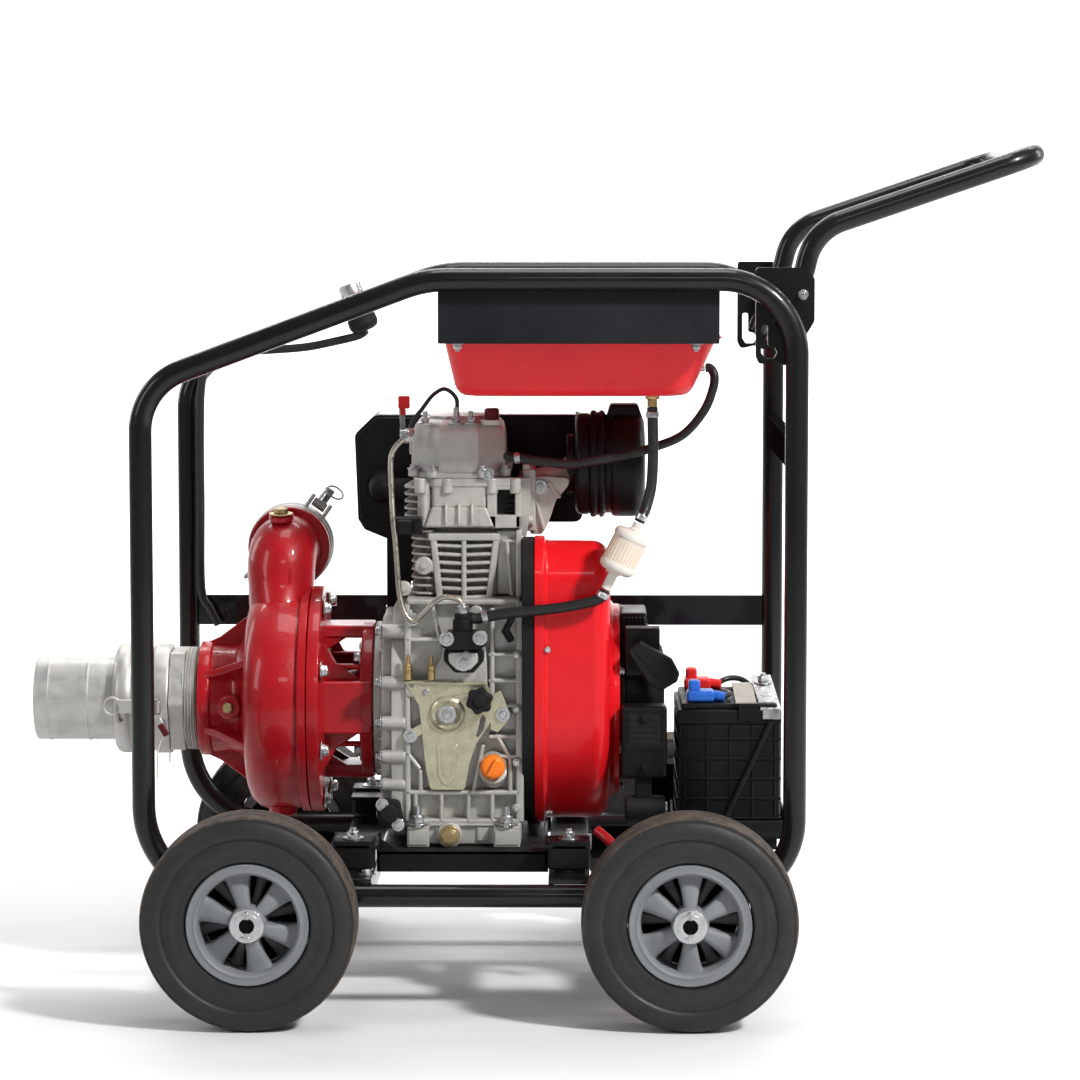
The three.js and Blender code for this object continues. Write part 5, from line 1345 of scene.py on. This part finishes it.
SB = "suction_coupler"
p = Piece("suction_coupler_cast", SB, "suction_coupler", "cast_alu")
# ribbed hose tail
tail = [(44.2, -604.6), (49.2, -604.8), (50.6, -603.6), (51.0, -601), (51.0, -590.4), (52.0, -589.2), (52.0, -586.6), (51.0, -585.4), (50.9, -542.4), (52.1, -541), (52.1, -538.4), (51.0, -537), (51.0, -508)]
body = [(52.2, -507.0), (60.5, -506.2), (65.2, -503.4), (67.0, -499.4), (67.6, -494), (67.2, -488), (65.6, -486.2), (64.2, -484), (63.8, -462), (64.8, -458.8), (66.6, -457.4), (67.8, -455.4), (67.8, -440.6), (66.2, -438.4), (57.4, -438.4), (57.4, -492.4), (44.2, -493)]
p.lathe((0, 0, PZ), (1, 0, 0), tail + body, AB, 112)
# cam lug on the near side
ov_ = [(-494.7 + 6.2 * math.cos(t), 329.6 + (8 if math.sin(t) > 0 else -8) + 6.2 * math.sin(t)) for t in [2 * math.pi * (k + 0.5) / 24 for k in range(24)]]
ovi = [(-494.7 + 2.8 * math.cos(t), 329.6 + (7 if math.sin(t) > 0 else -7) + 2.8 * math.sin(t)) for t in [2 * math.pi * (k + 0.5) / 24 for k in range(24)]]
p.prism("XZ", ov_, -69.5, -58, AB, 1.2, 3, holes=[ovi])

# retaining strap with a red tag on each side
for s_ in (-1, 1):
    p.bar((-447, s_ * 70.0, 317), (-438.6, s_ * 71.0, 303), 8, 5, M["dark_red"], 1.6, up=(0, 1, 0))
    p.bar((-450, s_ * 66.5, 324), (-445, s_ * 69.5, 314), 7, 3, AB, 1.0, up=(0, 1, 0))
    p.tube(smooth([(-441, s_ * 70, 304), (-446, s_ * 69, 296), (-450, s_ * 69, 282), (-451, s_ * 68, 250)], 5), 0.9, M["cream"], 10)
p.make()
for s_, nm in ((-1, "near"), (1, "far")):
    p = Piece(f"cam_lever_{nm}_arm", f"cam_{nm}", f"cam_lever_{nm}", "bare_steel")
    y0 = s_ * 78
    p.cyl((-452, y0, 330), (-452, y0, 350), 6.6, M["steel"], n=32, b=1.2)
    # arm back along the coupler, tapering, with a finger ring
    p.prism("XY", roundpoly([(-446, y0 - s_ * 6.0, 2), (-446, y0 + s_ * 5.4, 3), (-458, y0 + s_ * 6.6, 3), (-496, y0 + s_ * 3.2, 2), (-497, y0 - s_ * 3.0, 2), (-462, y0 - s_ * 5.8, 3)], 2.5, 3), 332.4, 347.6, AB, 1.6, 3)
    p.box(-496, -476, *sorted((y0 - s_ * 3.4, y0 + s_ * 4.2)), 331.6, 348.4, AB, 2.2, 3)
    ringp = [(-504 + 10.4 * math.cos(2 * math.pi * k / 28), y0 + s_ * 0.2, 340 + 10.4 * math.sin(2 * math.pi * k / 28)) for k in range(28)]
    p.tube(ringp, 1.5, AB, 12, closed=True)
    p.make()

# ------------------------------------------------------------------ discharge cap and its cam levers
p = Piece("discharge_cap_cast", "discharge_cap", "discharge_cap", "cast_alu")
p.lathe((DX, 0, DZ), (0, 1, 0), [(42.2, 50.9), (50.8, 50.9), (52.0, 52.2), (52.6, 58), (52.2, 61), (50.4, 62.4), (50.0, 76), (51.6, 78), (52.6, 80), (52.6, 96), (50.6, 101.4), (44, 105.4), (34, 107.8), (30, 107.4), (28, 104.6), (0, 104.2), (0, 99), (42.2, 99)], AB, 96)
p.cyl((DX, 103, DZ), (DX, 107.6, DZ), 12, AB, n=40, b=1.5)
# ears that carry the cam levers
for deg in (35, 225):
    t = math.radians(deg)
    e, w = Vector((math.sin(t), 0, math.cos(t))), Vector((math.cos(t), 0, -math.sin(t)))
    for k in (-1, 1):
        o = Vector((DX, 66, DZ)) + w * (k * 12.6)
        p.bar(o + e * 46, o + e * 70.5, 16, 5.4, AB, 2.2, up=w, w1=10)
p.make()
for nm, deg, up_ in (("upper", 35, math.pi / 6), ("lower", 225, 0.0)):
    p = Piece(f"cap_lever_{nm}_arm", f"cap_cam_{nm}", f"cap_lever_{nm}", "bare_steel")
    t = math.radians(deg)
    e = Vector((math.sin(t), 0, math.cos(t)))       # radial
    w = Vector((math.cos(t), 0, -math.sin(t)))      # along the pin
    o = Vector((DX, 66, DZ)) + e * 62.5
    yv = Vector((0, math.cos(up_), 0)) + e * math.sin(up_)   # the upper arm stands 30 degrees off the cap
    en = e * math.cos(up_) - Vector((0, math.sin(up_), 0))
    p.cyl(o - w * 9.2, o + w * 9.2, 6.0, M["steel"], n=28, b=1)
    p.bar(o - yv * 4.6, o + yv * 38.5, 13.2, 7.4, M["zinc"], 2.0, up=en)
    p.bar(o + yv * 2, o + yv * 24, 5, 9.8, M["zinc"], 1.6, up=en)
    cr = o + yv * 47 + (w * 7 if up_ else w * 0) - (e * 4 if up_ else e * 0)
    rv = (yv * 0.8 + w * 0.6).normalized() if up_ else yv
    rw = (w * 0.8 - yv * 0.6).normalized() if up_ else w
    p.tube([cr + (rv * math.cos(2 * math.pi * k / 28) + rw * math.sin(2 * math.pi * k / 28)) * 11.2 for k in range(28)], 1.25, M["steel"], 12, closed=True)
    p.make()

# ------------------------------------------------------------------ fuel tank
TR = M["tank"]
def tring(z, g0, rr, gl=None):
    return rrect(-102 + (g0 if gl is None else gl), 230 - g0, -226 + g0, 226 - g0, rr, 6), z
def loftz2(pc, rings, mat, cap=True):
    bm = bmesh.new()
    rows = [[bm.verts.new((x, y_, z)) for x, y_ in o] for o, z in rings]
    for a_, b_ in zip(rows, rows[1:]):
        for i in range(len(a_)):
            bm.faces.new((a_[i], a_[(i + 1) % len(a_)], b_[(i + 1) % len(b_)], b_[i]))
    if cap:
        bm.faces.new(rows[0])
        bm.faces.new(rows[-1][::-1])
    pc.put(bm, mat)
p = Piece("fuel_tank_pressing", slot="tank_red", replaces="fuel_tank")
rings = [tring(721.6, 52, 20, 34), tring(722.4, 45, 22, 29), tring(725, 39, 24, 24), tring(730, 34.5, 26, 20)]
for k in range(5):
    f_ = k / 4
    rings.append(tring(736 + 44 * f_, 31.5 - 20 * f_, 26, 17.5 - 9.5 * f_))
rings += [tring(785, 9.4, 26, 7.4), tring(788.5, 8.4, 28, 7.0), tring(789.5, 7.0, 30, 6.4), tring(789.8, 0.8, 41), tring(790.4, 0.2, 42), tring(792.4, 0.2, 42), tring(792.9, 0.8, 41)]
rings += [tring(793.2, 8.0, 40), tring(796, 11, 40), tring(806, 16, 42), tring(812, 20, 44), tring(815.4, 26, 46), tring(816.4, 34, 44)]
loftz2(p, rings, TR)
p.lathe((60, 0, 0), (0, 0, 1), [(30, 800), (47, 815.5), (40, 817), (37, 819.5), (36, 822), (36, 828.4), (34.6, 829.5), (30, 829.5)], TR, 64)
p.make()
p = Piece("fuel_tank_fittings", slot="zinc")
p.cyl((149, -150, 708.2), (149, -150, 724), 6.0, M["brass"], n=28)
p.hexbolt((149, -150, 722), (0, 0, -1), 15, 5, M["brass"], washer=False)
p.cyl((186, -100, 752), (212.6, -100, 752), 4.6, M["zinc"], n=24)
p.hexbolt((196.5, -100, 752), (1, 0, 0), 12, 5, M["zinc"], washer=True)
for xx in (-79.0, 198.2):
    for s_ in (-1, 1):
        p.hexbolt((xx, s_ * 219.5, 786), (0, 0, -1), 9, 5.5, M["zinc"], washer=True)
        p.cyl((xx, s_ * 219.5, 776), (xx, s_ * 219.5, 796), 2.8, M["zinc"], n=16)
        p.hexbolt((xx, s_ * 219.5, 793), (0, 0, 1), 9, 4, M["zinc"], washer=False)
p.make()
p = Piece("fuel_cap_knob", "tank_cap", "fuel_cap", "black_plastic")
pr = [(0, 830.2), (32.6, 830.2), (33.8, 831.4), (33.8, 836.4), (32.4, 838.2), (29.2, 839.4), (28.4, 842.6), (26, 844.6), (0, 844.8)]
p.lathe((60, 0, 0), (0, 0, 1), pr, M["black"], 72)
for k in range(24):
    a_ = 2 * math.pi * k / 24
    p.cyl((60 + 32.7 * math.cos(a_), 32.7 * math.sin(a_), 831), (60 + 32.7 * math.cos(a_), 32.7 * math.sin(a_), 837), 1.2, M["black"], n=10, b=0.4)
p.make()

# fuel filter: milky clear bowl, pleated paper inside, spigots and clips
f0, f1 = Vector((128.4, -165, 562)), Vector((104, -165, 512.6))
fd = (f1 - f0).normalized()
p = Piece("fuel_filter_bowl", slot="filter_plastic", replaces="fuel_filter")
Lf = (f1 - f0).length
p.lathe(f0, fd, [(0, 0), (9, 0), (17.5, 1.2), (21, 3.6), (21.9, 7), (21.9, 10.4), (20.8, 11.6), (20.6, 14), (20.4, 40), (20.8, 43), (21.9, 44.4), (21.9, 48), (20.8, 51), (17, Lf - 1), (9, Lf), (0, Lf)], M["cream"], 56)
for k in range(30):
    a_ = 2 * math.pi * k / 30
    u1, v1 = perp(fd)
    e = u1 * math.cos(a_) + v1 * math.sin(a_)
    p.bar(f0 + fd * 13 + e * 20.0, f0 + fd * 42 + e * 20.0, 1.3, 1.6, M["paper"], 0.4, up=e)
p.lathe(f0, -fd, [(0, -2), (8, -2), (8, 1.5), (5.9, 3), (5.9, 9.8), (0, 9.8)], M["cream"], 32)
p.lathe(f1, fd, [(0, -2), (8, -2), (8, 1.5), (5.9, 3), (5.9, 22), (0, 22)], M["cream"], 32)
p.make()

# hoses that the object holds, with wire clips
def hose(nm, pts, r, per=7):
    q = Piece(nm + "_tube", slot="hose_rubber", replaces=nm)
    q.tube(smooth(pts, per), r, M["hose"], 22)
    q.make()
    return q
def clip(pc, c, d, r):
    c, d = Vector(c), Vector(d).normalized()
    pc.lathe(c, d, [(r - 0.2, -3.4), (r + 0.9, -3.4), (r + 1.3, -2.8), (r + 1.3, 2.8), (r + 0.9, 3.4), (r - 0.2, 3.4)], M["zinc"], 36)
    u1, v1 = perp(d)
    pc.bar(c + u1 * (r + 0.6) - v1 * 3.2, c + u1 * (r + 0.6) + v1 * 3.2, 6.6, 4.2, M["zinc"], 0.8, up=u1)
hose("fuel_feed_hose", [(149, -150, 707.6), (149.5, -150, 690), (150, -151, 652), (148, -152, 614), (141.5, -158, 588), (137, -164.5, 579.4), (133.6, -165, 572.4)], 6.5)
hose("fuel_filter_hose", [(93.3, -165, 490.9), (90, -165, 484.2), (80, -165, 478.5), (64, -164, 474.5), (40, -163, 470), (10, -162, 466.5), (-20, -160, 463.5), (-44, -155, 459), (-57, -152, 456), (-63.9, -151.9, 456)], 6.5)
hose("fuel_return_hose", [(213.6, -100, 752), (219, -100, 751.6), (224, -103, 743), (222, -105, 726), (211, -107, 700), (186, -110, 672), (150, -112, 657), (116, -112, 648), (79, -111, 641), (49, -109, 637), (16, -107, 640), (-19, -104, 645), (-23.6, -99.5, 646)], 5.5)
p = Piece("hose_clips", slot="zinc")
clip(p, (149.2, -150, 699), (0, 0, -1), 6.5)
clip(p, (-50, -153.5, 457.6), (1, 0.1, 0.2), 6.5)
clip(p, (-12, -104.6, 644), (1, 0, 0.1), 5.5)
clip(p, (136.6, -164.6, 578.6), (0.45, 0, 0.89), 6.5)
clip(p, (90.6, -165, 485.6), (0.45, 0, 0.89), 6.5)
p.make()
# small leak-off hose over the head cover
p = Piece("leak_off_hose", slot="hose_rubber")
p.tube(smooth([(-85.2, -60.0, 696.8), (-86.2, -64.0, 713.9), (-99.2, -72.0, 725.1), (-113.3, -82.0, 718.4), (-126.1, -93.0, 702.1), (-136.7, -97.5, 688.0), (-141.6, -98.0, 676.0)], 6), 2.6, M["hose"], 16)
p.cyl((-85.2, -60.0, 682.2), (-85.2, -60.0, 696.8), 3.4, M["brass"], n=20)
p.cyl((-139.2, -97.5, 679.6), (-142.8, -98.0, 668.8), 3.6, M["brass"], n=20)
p.make()

# ------------------------------------------------------------------ battery
p = Piece("battery_case", slot="black_plastic", replaces="battery")
B = M["black"]
p.box(181.6, 303.4, -138.4, 32.4, 198.2, 328, B, 3.0, 3)
for zz in [214 + 24.0 * k for k in range(5)]:
    p.box(180.2, 304.8, -139.8, 33.8, zz - 1.6, zz + 1.6, B, 1.0)
for xx in [189 + 27.0 * k for k in range(5)]:
    p.box(xx - 1.6, xx + 1.6, -139.8, -136, 200, 327, B, 1.0)
for yy in [-128 + 30.0 * k for k in range(6)]:
    p.box(300, 304.8, yy - 1.6, yy + 1.6, 200, 327, B, 1.0)
    p.box(180.2, 184, yy - 1.6, yy + 1.6, 200, 327, B, 1.0)
p.box(180.2, 304.8, -139.8, 33.8, 326.5, 345, B, 3.0, 3)
p.box(185, 300, -134, 28, 344, 351.8, B, 3.0, 3)
for k in range(6):
    yy = -96 + 18.0 * k
    p.cyl((243, yy, 350), (243, yy, 351.9), 7.4, M["black_gloss"], n=32, b=0.6)
for yy in (-112, 6):
    p.cyl((200, yy, 351), (200, yy, 365.6), 7.6, M["steel"], n=32, r1=6.8, b=0.8)
# insulating covers over the terminal clamps: blue on the near post, red on the far one
for yy, mat in ((-112, M["bluep"]), (6, M["redp"])):
    p.box(192, 225, yy - 15, yy + 15, 352.2, 366, mat, 4.0, 3)
    p.box(194, 208, yy - 9, yy + 9, 364, 378, mat, 3.5, 3)
    p.cyl((222, yy, 359), (238, yy - 3, 357), 6.5, mat, n=28, b=1.5)
p.tube(smooth([(236, -115, 357), (244, -100, 360), (238, -60, 358), (262, -34, 356), (296, -30, 352)], 6), 3.2, M["hose"], 16)
p.tube(smooth([(230, 3, 357), (246, 8, 364), (262, 20, 362), (274, 30, 352), (280, 37, 330), (270, 41, 290)], 6), 3.6, M["hose"], 16)
# hold-down strap, clamp plate with its nut, and the slanted tie rod on the near face
p.bar((262, -139.5, 353.2), (261, -52, 366), 25, 2.4, M["beige"], 0.8, up=(0, 0, 1))
p.box(253, 276, -141.8, -139.6, 331, 352, B, 0.9)
p.bar((292, -139.5, 345), (284, -40, 374), 25, 2.2, M["zinc"], 0.8, up=(0, 0, 1))
p.box(282, 303, -142.2, -140.0, 334, 347, M["zinc"], 0.7)
p.box(276, 300, -60, 24, 351.8, 356, B, 1.2)
p.hexbolt((286, -62, 368.6), (0, -0.2, 1), 11, 7, M["zinc"], nut=True)
p.tube([(291.9, -142.5, 330.9), (239.9, -142.5, 217.4)], 3.2, M["satin"], 16)
p.make()

# ------------------------------------------------------------------ ignition switch and its wiring
ax_ = Vector((-0.3492, 0, 0.9371))
o = Vector((-224, 222, 820.5))
p = Piece("ignition_switch_barrel", "ignition_knob", "ignition_switch", "zinc")
p.lathe(o, ax_, [(0, 1.8), (11.8, 1.8), (11.8, 12.0), (14.6, 12.4), (15, 13.4), (15, 24.6), (14.2, 26.2), (12.4, 26.9), (8.6, 26.9), (8.2, 26.1), (0, 26.0)], M["zinc"], 56)
u1, v1 = perp(ax_)
for k in range(28):
    a_ = 2 * math.pi * k / 28
    e = u1 * math.cos(a_) + v1 * math.sin(a_)
    p.bar(o + ax_ * 14.4 + e * 14.4, o + ax_ * 23.6 + e * 14.4, 1.5, 1.0, M["zinc"], 0.35, up=e)
p.bar(o + ax_ * 26.2 - u1 * 4.5, o + ax_ * 26.2 + u1 * 4.5, 1.6, 1.0, M["black"], 0.3, up=ax_)
p.make()
p = Piece("wiring_loom", slot="hose_rubber", replaces="wiring_harness")
p.lathe(o, -ax_, [(0, 1.8), (17.2, 1.8), (18.4, 3), (18.4, 15), (17.6, 16), (17.6, 18), (18.8, 19), (19.2, 27), (18.4, 31), (16.2, 34.2), (12.4, 36.2), (7.6, 37), (0, 37)], M["black_rough"], 48)
loom = smooth([(-211, 222, 786), (-222, 226, 779), (-250, 234, 772), (-290, 238, 764), (-340, 240, 760), (-385, 241, 757), (-412, 240, 748), (-424, 238, 720), (-427, 238, 660), (-427, 238, 560), (-427, 238, 452), (-416, 238, 425), (-405, 238, 404)], 5)
p.tube(loom, 5.4, M["hose"], 18)
p.make()
